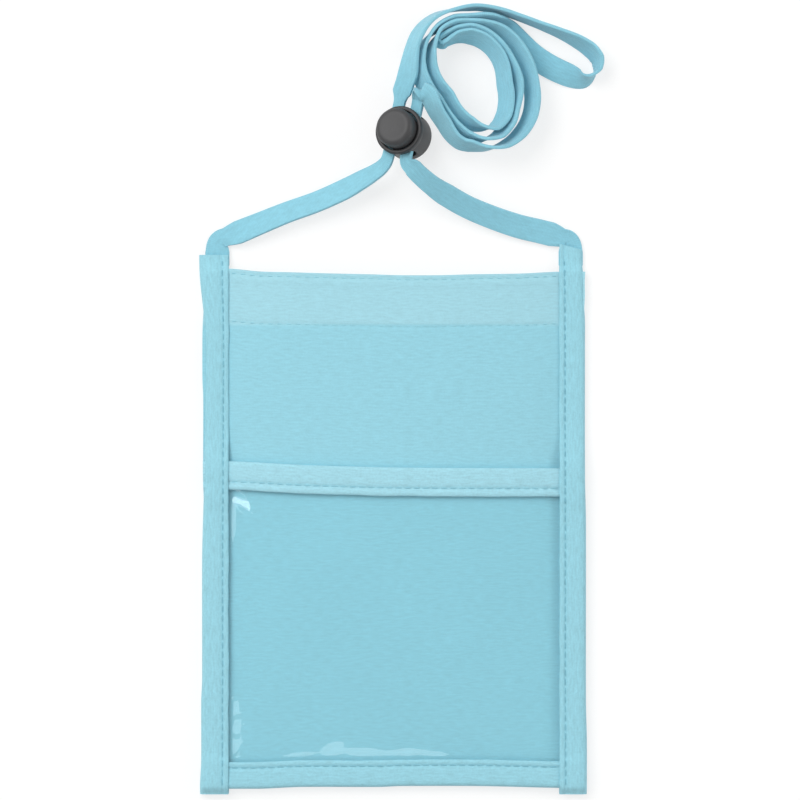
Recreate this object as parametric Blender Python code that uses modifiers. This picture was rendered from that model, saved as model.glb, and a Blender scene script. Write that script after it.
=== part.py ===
"""Neck wallet: a flat fabric pouch with a clear window pocket, tape-bound edges, a flat strap and a cord lock.

Metres, +Z up. The pouch lies on its back with its mouth towards +Y. The origin is under the pouch's middle.
"""

import math

import bmesh
import bpy
from mathutils import Matrix, Vector

# Pouch outline
POUCH_WIDTH = 0.1270
SIDE_TAPE_LENGTH = 0.1790
MOUTH_DROP = 0.0074
FOOT_RISE = 0.0021
HEM_WIDTH = 0.0165
WINDOW_DROP = 0.0633

# Tapes, panels and film
SIDE_TAPE_WIDTH = 0.0088
BOTTOM_TAPE_WIDTH = 0.0090
WINDOW_TAPE_WIDTH = 0.0094
TAPE_THICKNESS = 0.0004
PANEL_THICKNESS = 0.0003
FILM_THICKNESS = 0.0002
SEAM_GAP = 0.0003
EDGE_PLAY = 0.0006
PANEL_PLAY = 0.0012
FOLD_RADIUS = 0.0012
FOLD_STEPS = 4
TAPER_LENGTH = 0.0025

# The pouch stands open: its front swells up from its flat back
FRONT_SWELL = 0.0052
SWELL_POWER = 3.0
SECTIONS_ACROSS = 13
SECTIONS_ALONG = 13

# Strap
STRAP_WIDTH = 0.0080
STRAP_THICKNESS = 0.0008
PINCHED_WIDTH = 0.0036
PINCHED_THICKNESS = 0.0018
CREASE_THICKNESS = 0.0006
STRAP_JOIN_GAP = 0.0003
CREASE_GAP = 0.00092
CREASE_RISE = 0.0013
CREASE_REACH = 0.0012
CORNER_SHARE = 0.25
SPAN_STEPS = 2
TAB_START = 0.0030

# Cord lock, along its own axis from the closed end, which lies at this place above the tapes' top
LOCK_PLACE = Vector((0.0056, 0.0376, 0.0035))
LOCK_AXIS_SHARES = Vector((-0.359, 0.191, 0.914)).normalized()
LOCK_HEADING = math.radians(9)
BARREL_RADIUS = 0.0081
BARREL_LENGTH = 0.0118
BARREL_WALL = 0.00135
BARREL_FLOOR = 0.0012
BARREL_ROUNDING = 0.0014
RIM_ROUNDING = 0.0004
RUNNING_GAP = 0.0003
HOLE_SPACING = 0.0066
HOLE_WIDTH = 0.0042
HOLE_HEIGHT = 0.0048
HOLE_BASE = 0.0042
HOLE_ROUNDING = 0.0013
PLUNGER_TRAVEL = 0.0024
PLUNGER_RISE = 0.0048
PLUNGER_FOOT = 0.0013
PLUNGER_ROUNDING = 0.0009
DISH_DEPTH = 0.0003
SPRING_SEAT_DEPTH = 0.0006
SPRING_SEAT_RADIUS = 0.0036
SPRING_WIRE = 0.00045
SPRING_RADIUS = 0.0029
SPRING_TURNS = 3
STRAIGHT_BELOW = 0.0086
STRAIGHT_ABOVE = 0.0102
TURNED_STEPS = 40
CUT_OVERRUN = 0.0020

# Strap routes, with Y counted from the tapes' top: place, lean of the strap's width in degrees (0 flat, 90 on
# edge), then its width and thickness
FLAT = (STRAP_WIDTH, STRAP_THICKNESS)
SLACK = (0.0070, 0.0009)
GATHERED = (0.0056, 0.0012)
TIGHT = (0.0043, 0.0015)
CREASED = (0.0070, 0.0006)
TURNED = (0.0062, 0.0007)
LEFT_STRAND = [
    (-0.0585, 0.0025, 0.0011, 0, CREASED),
    (-0.0577, 0.0042, 0.0012, 3, TURNED),
    (-0.0556, 0.0051, 0.0014, 8, TURNED),
    (-0.0515, 0.0066, 0.0019, 14, FLAT),
    (-0.0441, 0.0096, 0.0025, 24, FLAT),
    (-0.0354, 0.0131, 0.0030, 30, FLAT),
    (-0.0255, 0.0166, 0.0038, 32, FLAT),
    (-0.0162, 0.0207, 0.0055, 32, FLAT),
    (-0.0106, 0.0237, 0.0072, 30, SLACK),
    (-0.0066, 0.0260, 0.0087, 28, GATHERED),
    (-0.0037, 0.0282, 0.0100, 25, TIGHT),
]
RISING_STRAND = [
    (0.0026, 0.0525, 0.0082, 40, TIGHT),
    (0.0037, 0.0557, 0.0091, 50, GATHERED),
    (0.0048, 0.0594, 0.0104, 60, SLACK),
    (0.0054, 0.0633, 0.0113, 66, FLAT),
    (0.0062, 0.0676, 0.0113, 72, FLAT),
    (0.0079, 0.0718, 0.0107, 82, FLAT),
    (0.0106, 0.0754, 0.0098, 94, FLAT),
    (0.0146, 0.0782, 0.0088, 106, FLAT),
    (0.0202, 0.0799, 0.0076, 114, FLAT),
    (0.0251, 0.0806, 0.0067, 117, FLAT),
]
END_LOOP = [
    (0.0291, 0.0806, 0.0061, 118, FLAT),
    (0.0351, 0.0796, 0.0053, 114, FLAT),
    (0.0417, 0.0774, 0.0048, 110, FLAT),
    (0.0483, 0.0749, 0.0045, 108, FLAT),
    (0.0549, 0.0723, 0.0043, 112, FLAT),
    (0.0606, 0.0696, 0.0041, 120, FLAT),
    (0.0648, 0.0668, 0.0040, 124, FLAT),
    (0.0671, 0.0639, 0.0040, 119, FLAT),
    (0.0672, 0.0609, 0.0038, 108, FLAT),
    (0.0655, 0.0583, 0.0034, 84, FLAT),
    (0.0622, 0.0571, 0.0026, 50, FLAT),
    (0.0575, 0.0587, 0.0018, 20, FLAT),
    (0.0516, 0.0615, 0.0013, 8, FLAT),
    (0.0460, 0.0652, 0.0011, 6, FLAT),
    (0.0413, 0.0696, 0.0012, 6, FLAT),
    (0.0373, 0.0735, 0.0022, 24, FLAT),
    (0.0334, 0.0759, 0.0044, 52, FLAT),
    (0.0298, 0.0767, 0.0059, 62, FLAT),
]
FALLING_STRAND = [
    (0.0219, 0.0355, 0.0119, 64, FLAT),
    (0.0189, 0.0380, 0.0126, 60, FLAT),
    (0.0163, 0.0421, 0.0134, 56, FLAT),
    (0.0141, 0.0454, 0.0142, 55, FLAT),
    (0.0126, 0.0484, 0.0150, 56, SLACK),
    (0.0115, 0.0509, 0.0152, 62, GATHERED),
    (0.0098, 0.0524, 0.0146, 90, TIGHT),
    (0.0085, 0.0523, 0.0129, 130, TIGHT),
    (0.0083, 0.0506, 0.0115, 165, TIGHT),
]
RIGHT_STRAND = [
    (0.0063, 0.0273, 0.0128, 160, TIGHT),
    (0.0089, 0.0247, 0.0115, 160, GATHERED),
    (0.0126, 0.0217, 0.0095, 158, SLACK),
    (0.0169, 0.0189, 0.0073, 156, FLAT),
    (0.0241, 0.0149, 0.0050, 156, FLAT),
    (0.0326, 0.0114, 0.0036, 160, FLAT),
    (0.0410, 0.0086, 0.0028, 166, FLAT),
    (0.0478, 0.0070, 0.0021, 170, FLAT),
    (0.0522, 0.0059, 0.0018, 173, FLAT),
    (0.0557, 0.0048, 0.0014, 176, TURNED),
    (0.0577, 0.0042, 0.0012, 179, TURNED),
    (0.0585, 0.0025, 0.0011, 180, CREASED),
]

# Coil: its middle above the tapes' top, and the radii of its outermost and innermost turns every 30 degrees,
# counter-clockwise from +X
COIL_PLACE = Vector((0.0251, 0.0554, 0.0090))
COIL_SLOPE_SHARES = Vector((0.127, 0.122))
COIL_LEAN_SHARES = Vector((0.437, 0.412, 0.800))
COIL_STEP = 15
COIL_OUTER = [0.0202, 0.0195, 0.0202, 0.0207, 0.0212, 0.0198, 0.0182, 0.0164, 0.0172, 0.0207, 0.0232, 0.0225]
COIL_INNER = [0.0114, 0.0121, 0.0139, 0.0157, 0.0159, 0.0146, 0.0112, 0.0089, 0.0103, 0.0134, 0.0164, 0.0137]

# How far in each strand lies every 30 degrees, as shares from the outermost turn to the innermost
FIRST_COIL_START = 90
FIRST_COIL_SHARES = [0.0, 0.0, 0.10, 0.40, 0.45, 0.38, 0.33, 0.58, 0.74, 0.58, 0.70, 0.74, 0.67, 0.68]
SECOND_COIL_START = -90
SECOND_COIL_SHARES = [
    0.0, 0.0, 0.0, 0.0, 0.0, 0.07, 0.35, 0.30, 0.84, 1.0,
    1.0, 1.0, 1.0, 1.0, 1.0, 1.0, 1.0, 1.0, 1.0, 1.0, 1.0,
]
COIL_END = 480
FOLD_BULGE = 0.0020

# Heights of the sewn layers, from the table up
BOTTOM_TAPE_Z = TAPE_THICKNESS + SEAM_GAP
BACK_PANEL_Z = BOTTOM_TAPE_Z + TAPE_THICKNESS + SEAM_GAP
HEM_Z = BACK_PANEL_Z + PANEL_THICKNESS + SEAM_GAP
FRONT_PANEL_Z = HEM_Z + PANEL_THICKNESS + SEAM_GAP
WINDOW_TAPE_Z = FRONT_PANEL_Z + PANEL_THICKNESS + SEAM_GAP
FILM_Z = WINDOW_TAPE_Z + TAPE_THICKNESS + SEAM_GAP
FRONT_LEAF_Z = FILM_Z + FILM_THICKNESS + SEAM_GAP
SIDE_TAPE_HEIGHT = FRONT_LEAF_Z + 2 * TAPE_THICKNESS + SEAM_GAP
UPPER_TAPE_HEIGHT = FRONT_PANEL_Z + PANEL_THICKNESS + SEAM_GAP + TAPE_THICKNESS
TAB_HEIGHT = STRAP_THICKNESS + 2 * (TAPE_THICKNESS + SEAM_GAP)

# Places along and across the pouch
TAPE_TOP_Y = SIDE_TAPE_LENGTH / 2
TAPE_TOP = Vector((0, TAPE_TOP_Y, 0))
LOCK_FOOT = TAPE_TOP + LOCK_PLACE
COIL_CENTRE = TAPE_TOP + COIL_PLACE
MOUTH_Y = TAPE_TOP_Y - MOUTH_DROP
FOOT_Y = FOOT_RISE - TAPE_TOP_Y
WINDOW_TOP_Y = MOUTH_Y - WINDOW_DROP
PANEL_FOOT_Y = FOOT_Y + TAPE_THICKNESS + PANEL_PLAY
FILM_TOP_Y = WINDOW_TOP_Y - TAPE_THICKNESS - SEAM_GAP
INNER_EDGE_X = POUCH_WIDTH / 2 - SIDE_TAPE_WIDTH
PANEL_EDGE_X = POUCH_WIDTH / 2 - TAPE_THICKNESS - EDGE_PLAY
SWELL_EDGE_X = INNER_EDGE_X - SEAM_GAP
SWELL_FOOT_Y = FOOT_Y + BOTTOM_TAPE_WIDTH + SEAM_GAP
TAB_X = PANEL_EDGE_X - STRAP_WIDTH / 2
TAB_Z = TAB_HEIGHT / 2

COLOURS = {
    "fabric": (0.30, 0.66, 0.78, 1.0),
    "tape": (0.33, 0.70, 0.81, 1.0),
    "strap": (0.24, 0.62, 0.76, 1.0),
    "film": (0.80, 0.92, 0.96, 0.25),
    "plastic": (0.035, 0.035, 0.038, 1.0),
    "steel": (0.60, 0.60, 0.58, 1.0),
}
ROUGHNESS = {"fabric": 0.85, "tape": 0.80, "strap": 0.75, "film": 0.08, "plastic": 0.45, "steel": 0.30}


def clear_scene():
    for item in list(bpy.data.objects):
        bpy.data.objects.remove(item, do_unlink=True)


def new_collection(name):
    made = bpy.data.collections.new(name)
    bpy.context.scene.collection.children.link(made)
    return made


def paint(item, finish):
    """Give the object its own material of a named finish."""
    material = bpy.data.materials.new(item.name)
    material.use_nodes = True
    shader = material.node_tree.nodes["Principled BSDF"]
    shader.inputs["Base Color"].default_value = COLOURS[finish]
    shader.inputs["Roughness"].default_value = ROUGHNESS[finish]
    shader.inputs["Metallic"].default_value = 1.0 if finish == "steel" else 0.0
    shader.inputs["Alpha"].default_value = COLOURS[finish][3]
    item.data.materials.append(material)


def loft(name, rings, finish):
    """A closed solid through rings that all have the same number of points."""
    mesh = bmesh.new()
    rows = [[mesh.verts.new(point) for point in ring] for ring in rings]
    count = len(rows[0])
    for row, following in zip(rows, rows[1:]):
        for i in range(count):
            j = (i + 1) % count
            mesh.faces.new((row[i], row[j], following[j], following[i]))
    mesh.faces.new(reversed(rows[0]))
    mesh.faces.new(rows[-1])
    bmesh.ops.recalc_face_normals(mesh, faces=mesh.faces)
    data = bpy.data.meshes.new(name)
    mesh.to_mesh(data)
    mesh.free()
    item = bpy.data.objects.new(name, data)
    parts.objects.link(item)
    data.shade_smooth()
    data.set_sharp_from_angle(angle=math.radians(35))
    paint(item, finish)
    return item


def steps(low, high, count):
    return [low + (high - low) * i / (count - 1) for i in range(count)]


def fullness(x, y):
    """Share of the pouch's swell at a place: most at the middle of its mouth, none at the tapes."""
    across = 1 - min(1, abs(x) / SWELL_EDGE_X) ** SWELL_POWER
    depth = (MOUTH_Y - y) / (MOUTH_Y - SWELL_FOOT_Y)
    along = 1 - min(1, max(0, depth)) ** SWELL_POWER
    return across * along


def arc(centre, radius, start, end):
    """Points on an arc in a plane, its ends included, from angles in degrees."""
    turns = [math.radians(a) for a in steps(start, end, FOLD_STEPS + 1)]
    return [(centre[0] + radius * math.cos(a), centre[1] + radius * math.sin(a)) for a in turns]


def folded_tape(width, height):
    """Outline of a tape folded round an edge: (distance from the fold, height) pairs."""
    outer = min(FOLD_RADIUS, height / 2)
    inner = outer - TAPE_THICKNESS
    inside = height - TAPE_THICKNESS
    outline = [(width, height)]
    outline += arc((outer, height - outer), outer, 90, 180)
    outline += arc((outer, outer), outer, 180, 270)
    outline += [(width, 0), (width, TAPE_THICKNESS)]
    outline += arc((outer, TAPE_THICKNESS + inner), inner, 270, 180)
    outline += arc((outer, inside - inner), inner, 180, 90)
    outline += [(width, inside)]
    return without_repeats(outline)


def without_repeats(outline):
    """The outline without points that lie on the one before them."""
    kept = []
    for point in outline:
        if not kept or math.dist(point, kept[-1]) > SEAM_GAP * 0.01:
            kept.append(point)
    return kept


def across_pouch(edge):
    """Stations across the pouch, closer together where it swells."""
    return [-edge, *steps(-SWELL_EDGE_X, SWELL_EDGE_X, SECTIONS_ACROSS), edge]


def along_pouch(low, high):
    """Stations along the pouch between two places, with one where the swell starts."""
    inside = steps(MOUTH_Y, SWELL_FOOT_Y, SECTIONS_ALONG)
    return [low, *sorted(y for y in inside if low + PANEL_PLAY < y < high - PANEL_PLAY), high]


def sheet(name, outline, edge, rise, finish):
    """A sheet swept across the pouch from an outline of (y, z), raised by a share of the swell."""
    rings = [[(x, y, z + rise * fullness(x, y)) for y, z in outline] for x in across_pouch(edge)]
    return loft(name, rings, finish)


def flat_outline(low, high, bottom, thickness):
    """Outline of a flat sheet between two places, as (y, z) pairs."""
    stations = along_pouch(low, high)
    return [(y, bottom + thickness) for y in stations] + [(y, bottom) for y in reversed(stations)]


def make_back_panel():
    outline = flat_outline(PANEL_FOOT_Y, MOUTH_Y, BACK_PANEL_Z, PANEL_THICKNESS)
    sheet("back_panel", outline, PANEL_EDGE_X, 0, "fabric")


def make_front_panel():
    """The front panel, with its top edge turned in and sewn down as a hem."""
    radius = (FRONT_PANEL_Z + PANEL_THICKNESS - HEM_Z) / 2
    fold = (MOUTH_Y - radius, HEM_Z + radius)
    hem_foot = MOUTH_Y - HEM_WIDTH
    body = along_pouch(PANEL_FOOT_Y, fold[0])
    hem = along_pouch(hem_foot, fold[0])
    outline = [(y, FRONT_PANEL_Z + PANEL_THICKNESS) for y in body[:-1]]
    outline += arc(fold, radius, 90, -90)
    outline += [(y, HEM_Z) for y in reversed(hem[:-1])]
    outline += [(y, HEM_Z + PANEL_THICKNESS) for y in hem[:-1]]
    outline += arc(fold, radius - PANEL_THICKNESS, -90, 90)
    outline += [(y, FRONT_PANEL_Z) for y in reversed(body[:-1])]
    sheet("front_panel", outline, PANEL_EDGE_X, FRONT_SWELL, "fabric")


def make_window_film():
    outline = flat_outline(PANEL_FOOT_Y, FILM_TOP_Y, FILM_Z, FILM_THICKNESS)
    sheet("window_film", outline, PANEL_EDGE_X, FRONT_SWELL, "film")


def make_window_tape():
    """Tape folded over the film's top edge."""
    height = FRONT_LEAF_Z + TAPE_THICKNESS - WINDOW_TAPE_Z
    outline = [(WINDOW_TOP_Y - d, WINDOW_TAPE_Z + z) for d, z in folded_tape(WINDOW_TAPE_WIDTH, height)]
    sheet("window_tape", outline, PANEL_EDGE_X, FRONT_SWELL, "tape")


def make_bottom_tape():
    """Tape folded round the bottom edges of both panels and the film."""
    height = FRONT_LEAF_Z + TAPE_THICKNESS - BOTTOM_TAPE_Z
    outline = [(FOOT_Y + d, BOTTOM_TAPE_Z + z) for d, z in folded_tape(BOTTOM_TAPE_WIDTH, height)]
    rings = [[(x, y, z) for y, z in outline] for x in (-PANEL_EDGE_X, PANEL_EDGE_X)]
    loft("bottom_tape", rings, "tape")


def make_side_tape(name, side):
    """Tape folded round a side edge: thinner above the window, and pressed flat over the strap's end."""
    stations = [
        (-TAPE_TOP_Y, SIDE_TAPE_HEIGHT),
        (WINDOW_TOP_Y + SEAM_GAP, SIDE_TAPE_HEIGHT),
        (WINDOW_TOP_Y + SEAM_GAP + TAPER_LENGTH, UPPER_TAPE_HEIGHT),
        (MOUTH_Y + SEAM_GAP, UPPER_TAPE_HEIGHT),
        (MOUTH_Y + SEAM_GAP + TAPER_LENGTH, TAB_HEIGHT),
        (TAPE_TOP_Y, TAB_HEIGHT),
    ]
    rings = []
    for y, height in stations:
        outline = folded_tape_of_fixed_count(SIDE_TAPE_WIDTH, height)
        rings.append([(side * (POUCH_WIDTH / 2 - d), y, z) for d, z in outline])
    loft(name, rings, "tape")


def folded_tape_of_fixed_count(width, height):
    """The folded tape's outline with its repeated points kept a hair apart, so that unlike heights loft."""
    lowest = 2 * FOLD_RADIUS + SEAM_GAP
    shape = folded_tape(width, max(height, lowest))
    squeeze = height / max(height, lowest)
    if squeeze == 1:
        return shape
    middle = lowest / 2
    outline = []
    for distance, z in shape:
        leaf = TAPE_THICKNESS if abs(z - middle) < middle - TAPE_THICKNESS * 0.99 else 0
        pressed = leaf + (z - leaf) * (height - 2 * leaf) / (lowest - 2 * leaf) if leaf else z * squeeze
        outline.append((distance, pressed))
    return outline


def unit(vector):
    return vector / vector.length


def lock_axes():
    """The lock's axes: across its two holes, along the strap, and towards its button."""
    towards = LOCK_AXIS_SHARES
    heading = Vector((math.sin(LOCK_HEADING), math.cos(LOCK_HEADING), 0))
    along = unit(heading - heading.dot(towards) * towards)
    return along.cross(towards), along, towards


def lock_matrix():
    across, along, towards = lock_axes()
    turned = Matrix((across, along, towards)).transposed().to_4x4()
    return Matrix.Translation(LOCK_FOOT) @ turned


def lock_hole_middle():
    """Height of the strap in the lock: where the barrel's and the plunger's holes overlap at rest."""
    return HOLE_BASE + (PLUNGER_TRAVEL + HOLE_HEIGHT) / 2


def through_lock(side, upwards):
    """Strap stations straight through one hole of the lock."""
    across, along, towards = lock_axes()
    middle = LOCK_FOOT + side * HOLE_SPACING / 2 * across + lock_hole_middle() * towards
    size = (PINCHED_WIDTH, PINCHED_THICKNESS)
    run = [(middle + reach * along, across, size) for reach in (-STRAIGHT_BELOW, 0, STRAIGHT_ABOVE)]
    return run if upwards else run[::-1]


def coil_height(x, y):
    """Height of the coil's middle line: it slopes down away from the lock."""
    offset = Vector((x, y)) - COIL_CENTRE.xy
    return COIL_CENTRE.z - offset.dot(COIL_SLOPE_SHARES)


def smooth_value(values, place, closed):
    """A smooth curve through evenly spaced values, read at a place counted in steps."""
    low = math.floor(place)
    part = place - low
    count = len(values)
    picked = [(low + k) % count if closed else min(max(low + k, 0), count - 1) for k in (-1, 0, 1, 2)]
    a, b, c, d = (values[i] for i in picked)
    return b + part * ((c - a) / 2 + part * ((2 * a - 5 * b + 4 * c - d) / 2 + part * (3 * b - a - 3 * c + d) / 2))


def coil_point(angle, share):
    """A point of the coil at an angle in degrees, a share of the way in."""
    outer = smooth_value(COIL_OUTER, angle / 30, True)
    inner = smooth_value(COIL_INNER, angle / 30, True)
    radius = outer + (inner - outer) * share
    turn = math.radians(angle)
    x = COIL_CENTRE.x + radius * math.cos(turn)
    y = COIL_CENTRE.y + radius * math.sin(turn)
    return Vector((x, y, coil_height(x, y)))


def coil_turns(start, shares, first, last):
    """Strap stations round the coil, from one angle to another."""
    stations = []
    for angle in range(first, last + COIL_STEP, COIL_STEP):
        share = smooth_value(shares, (angle - start) / 30, False)
        stations.append((coil_point(angle, share), COIL_LEAN_SHARES, FLAT))
    return stations


def coil_fold(first_end, second_end):
    """The bend at the coil's inner end, where the strap turns back on itself."""
    middle = (first_end + second_end) / 2
    ahead = unit(Vector((-math.sin(math.radians(COIL_END)), math.cos(math.radians(COIL_END)), 0)))
    aside = (first_end - second_end) / 2
    places = []
    for degrees in (40, 90, 140):
        turn = math.radians(degrees)
        bulge = ahead * FOLD_BULGE * math.sin(turn)
        places.append(middle + aside * math.cos(turn) * 1.3 + bulge)
    return [(place, COIL_LEAN_SHARES, FLAT) for place in places]


def leaning(rows):
    """Strap stations from rows of place, lean in degrees and size."""
    return [(TAPE_TOP + Vector(row[:3]), row[3], row[4]) for row in rows]


def strap_tab(side):
    """Stations of the strap's sewn end, from inside the tape to just above it."""
    lean = 0 if side < 0 else 180
    places = steps(MOUTH_Y + TAB_START, TAPE_TOP_Y + CREASE_RISE - CREASE_REACH, 3)
    return [(Vector((side * TAB_X, y, TAB_Z)), lean, (STRAP_WIDTH, CREASE_THICKNESS)) for y in places]


def strap_stations():
    """Every station of the strap from its left end to its right end, and where its pieces meet."""
    first = coil_turns(FIRST_COIL_START, FIRST_COIL_SHARES, FIRST_COIL_START, COIL_END)
    second = coil_turns(SECOND_COIL_START, SECOND_COIL_SHARES, SECOND_COIL_START, COIL_END)
    fold = coil_fold(first[-1][0], second[-1][0])
    runs = [
        ("strap_tab_left", strap_tab(-1)),
        ("strap_left", leaning(LEFT_STRAND) + through_lock(-1, True) + leaning(RISING_STRAND)),
        ("strap_end_loop", leaning(END_LOOP)),
        ("strap_coil", first + fold + second[::-1]),
        ("strap_right", leaning(FALLING_STRAND) + through_lock(1, False) + leaning(RIGHT_STRAND)),
        ("strap_tab_right", strap_tab(1)[::-1]),
    ]
    stations, spans = [], []
    for name, run in runs:
        spans.append((name, len(stations), len(stations) + len(run)))
        stations += run
    return stations, spans


def curve_value(a, b, c, d, part):
    """A point on the smooth curve between b and c."""
    return b + part * ((c - a) / 2 + part * ((2 * a - 5 * b + 4 * c - d) / 2 + part * (3 * b - a - 3 * c + d) / 2))


def width_direction(way, tangent):
    """The strap's width at a station, square to its run, from a direction or a lean in degrees."""
    if isinstance(way, Vector):
        return unit(way - way.dot(tangent) * tangent)
    right = unit(tangent.cross(Vector((0, 0, 1))))
    up = right.cross(tangent)
    return right * math.cos(math.radians(way)) + up * math.sin(math.radians(way))


def strap_line():
    """The strap's middle line, finely divided: place, width direction and size at each point."""
    stations, spans = strap_stations()
    places = [place for place, _, _ in stations]
    count = len(places)
    widths = []
    for i, (place, way, _) in enumerate(stations):
        tangent = unit(places[min(i + 1, count - 1)] - places[max(i - 1, 0)])
        widths.append(width_direction(way, tangent))
    line = []
    for i in range(count - 1):
        around = [places[min(max(i + k, 0), count - 1)] for k in (-1, 0, 1, 2)]
        for step in range(SPAN_STEPS):
            part = step / SPAN_STEPS
            size = [p + (q - p) * part for p, q in zip(stations[i][2], stations[i + 1][2])]
            line.append((curve_value(*around, part), widths[i].lerp(widths[i + 1], part), size))
    line.append((places[-1], widths[-1], stations[-1][2]))
    return line, [(name, first * SPAN_STEPS, last * SPAN_STEPS) for name, first, last in spans]


def section(place, tangent, width, size):
    """Eight points of the strap's section: a flat bar with its corners cut."""
    width = unit(width - width.dot(tangent) * tangent)
    thick = tangent.cross(width)
    half, depth = size[0] / 2, size[1] / 2
    cut = size[1] * CORNER_SHARE
    corners = [(half, depth - cut), (half - cut, depth), (cut - half, depth), (-half, depth - cut)]
    corners += [(-a, -b) for a, b in corners]
    return [place + a * width + b * thick for a, b in corners]


def cut_gap(name, neighbour):
    """The gap between two pieces of the strap: wider where it creases over a tape."""
    return CREASE_GAP if "tab" in name + neighbour else STRAP_JOIN_GAP


def make_strap():
    """The strap's pieces, each with a small gap to the next."""
    line, spans = strap_line()
    last_point = len(line) - 1
    names = [name for name, _, _ in spans]
    for number, (name, first, last) in enumerate(spans):
        first = max(first - SPAN_STEPS // 2, 0)
        last = min(last - SPAN_STEPS // 2, last_point)
        rings = []
        for i in range(first, last + 1):
            place, width, size = line[i]
            tangent = unit(line[min(i + 1, last_point)][0] - line[max(i - 1, 0)][0])
            if i == first and number > 0:
                place = place + tangent * cut_gap(name, names[number - 1]) / 2
            if i == last and number < len(spans) - 1:
                place = place - tangent * cut_gap(name, names[number + 1]) / 2
            rings.append(section(place, tangent, width, size))
        loft(name, rings, "strap")
        if name == "strap_coil":
            print_least_gap(rings)


def print_least_gap(rings):
    """Print how near the coil's turns come to each other, from points on its faces."""
    spread = []
    reach = [0]
    for number, ring in enumerate(rings):
        spread.append([p.lerp(q, k / 4) for p, q in ((ring[1], ring[2]), (ring[6], ring[5])) for k in range(5)])
        if number:
            reach.append(reach[-1] + (ring[0] + ring[4] - rings[number - 1][0] - rings[number - 1][4]).length / 2)
    least = min(
        (p - q).length
        for i, ring in enumerate(spread)
        for j, other in enumerate(spread)
        if reach[j] - reach[i] > 5 * STRAP_THICKNESS
        for p in ring
        for q in other
    )
    print(f"least gap in the coil: {least:.5f} m")


def link_from_operator(name, collection):
    """Rename the object that an operator has just made and keep it in one collection."""
    item = bpy.context.object
    item.name = name
    item.data.name = name
    for holder in list(item.users_collection):
        holder.objects.unlink(item)
    collection.objects.link(item)
    return item


def turned(name, profile, collection):
    """A turned solid about its own Z from a profile of (radius, height), top to bottom on its outer side."""
    mesh = bmesh.new()
    points = [mesh.verts.new((radius, 0, height)) for radius, height in profile]
    for a, b in zip(points, points[1:]):
        mesh.edges.new((a, b))
    data = bpy.data.meshes.new(name)
    mesh.to_mesh(data)
    mesh.free()
    item = bpy.data.objects.new(name, data)
    collection.objects.link(item)
    screw = item.modifiers.new("Turn", "SCREW")
    screw.steps = TURNED_STEPS
    screw.render_steps = TURNED_STEPS
    screw.use_merge_vertices = True
    screw.merge_threshold = 0.00001
    screw.use_smooth_shade = True
    return item


def rounded(radius, height, rounding, top):
    """Profile points of a rounded outer edge, from the top down, at a top or a bottom corner."""
    start, end = (90, 0) if top else (0, -90)
    centre = (radius - rounding, height - rounding if top else height + rounding)
    return arc(centre, rounding, start, end)


def hole_cutter(name, side, base):
    """A rounded bar along the strap, wide enough to cut one of the lock's two holes."""
    bpy.ops.mesh.primitive_cube_add(size=1)
    item = link_from_operator(name, cutters)
    length = 2 * BARREL_RADIUS + 2 * CUT_OVERRUN
    item.data.transform(Matrix.Diagonal((HOLE_WIDTH, length, HOLE_HEIGHT, 1)))
    item.data.transform(Matrix.Translation((side * HOLE_SPACING / 2, 0, base + HOLE_HEIGHT / 2)))
    mesh = bmesh.new()
    mesh.from_mesh(item.data)
    long_edges = [e for e in mesh.edges if abs(e.verts[0].co.y - e.verts[1].co.y) > length / 2]
    bmesh.ops.bevel(mesh, geom=long_edges, offset=HOLE_ROUNDING, segments=3, affect="EDGES", profile=0.5)
    mesh.to_mesh(item.data)
    mesh.free()
    item.matrix_world = lock_matrix()
    item.hide_render = True
    item.display_type = "WIRE"
    return item


def cut(item, cutter):
    boolean = item.modifiers.new(cutter.name, "BOOLEAN")
    boolean.operation = "DIFFERENCE"
    boolean.solver = "EXACT"
    boolean.object = cutter


def make_lock_barrel():
    """The lock's cup-shaped barrel with two holes across it for the strap."""
    bore = BARREL_RADIUS - BARREL_WALL
    profile = [(bore, BARREL_LENGTH - RIM_ROUNDING)]
    profile += arc((bore + RIM_ROUNDING, BARREL_LENGTH - RIM_ROUNDING), RIM_ROUNDING, 180, 90)[1:]
    profile += rounded(BARREL_RADIUS, BARREL_LENGTH, RIM_ROUNDING, True)
    profile += rounded(BARREL_RADIUS, 0, BARREL_ROUNDING, False)
    profile += [(0, 0)]
    profile = [(0, BARREL_FLOOR), (bore, BARREL_FLOOR), *profile]
    barrel = turned("lock_barrel", profile, parts)
    barrel.matrix_world = lock_matrix()
    for side in (-1, 1):
        cut(barrel, hole_cutter(f"barrel_hole_{side + 1}", side, HOLE_BASE))
    paint(barrel, "plastic")


def make_lock_plunger():
    """The push button: its holes stand above the barrel's at rest, so the strap is pinched between them."""
    radius = BARREL_RADIUS - BARREL_WALL - RUNNING_GAP
    top = BARREL_LENGTH + PLUNGER_RISE
    holes = HOLE_BASE + PLUNGER_TRAVEL
    foot = holes - PLUNGER_FOOT
    profile = [(0, top - DISH_DEPTH), (radius / 2, top - DISH_DEPTH * 0.75)]
    profile += rounded(radius, top, PLUNGER_ROUNDING, True)
    profile += [(radius, foot), (SPRING_SEAT_RADIUS, foot)]
    profile += [(SPRING_SEAT_RADIUS, foot + SPRING_SEAT_DEPTH), (0, foot + SPRING_SEAT_DEPTH)]
    plunger = turned("lock_plunger", profile, parts)
    plunger.matrix_world = lock_matrix()
    for side in (-1, 1):
        cut(plunger, hole_cutter(f"plunger_hole_{side + 1}", side, holes))
    paint(plunger, "plastic")


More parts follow.
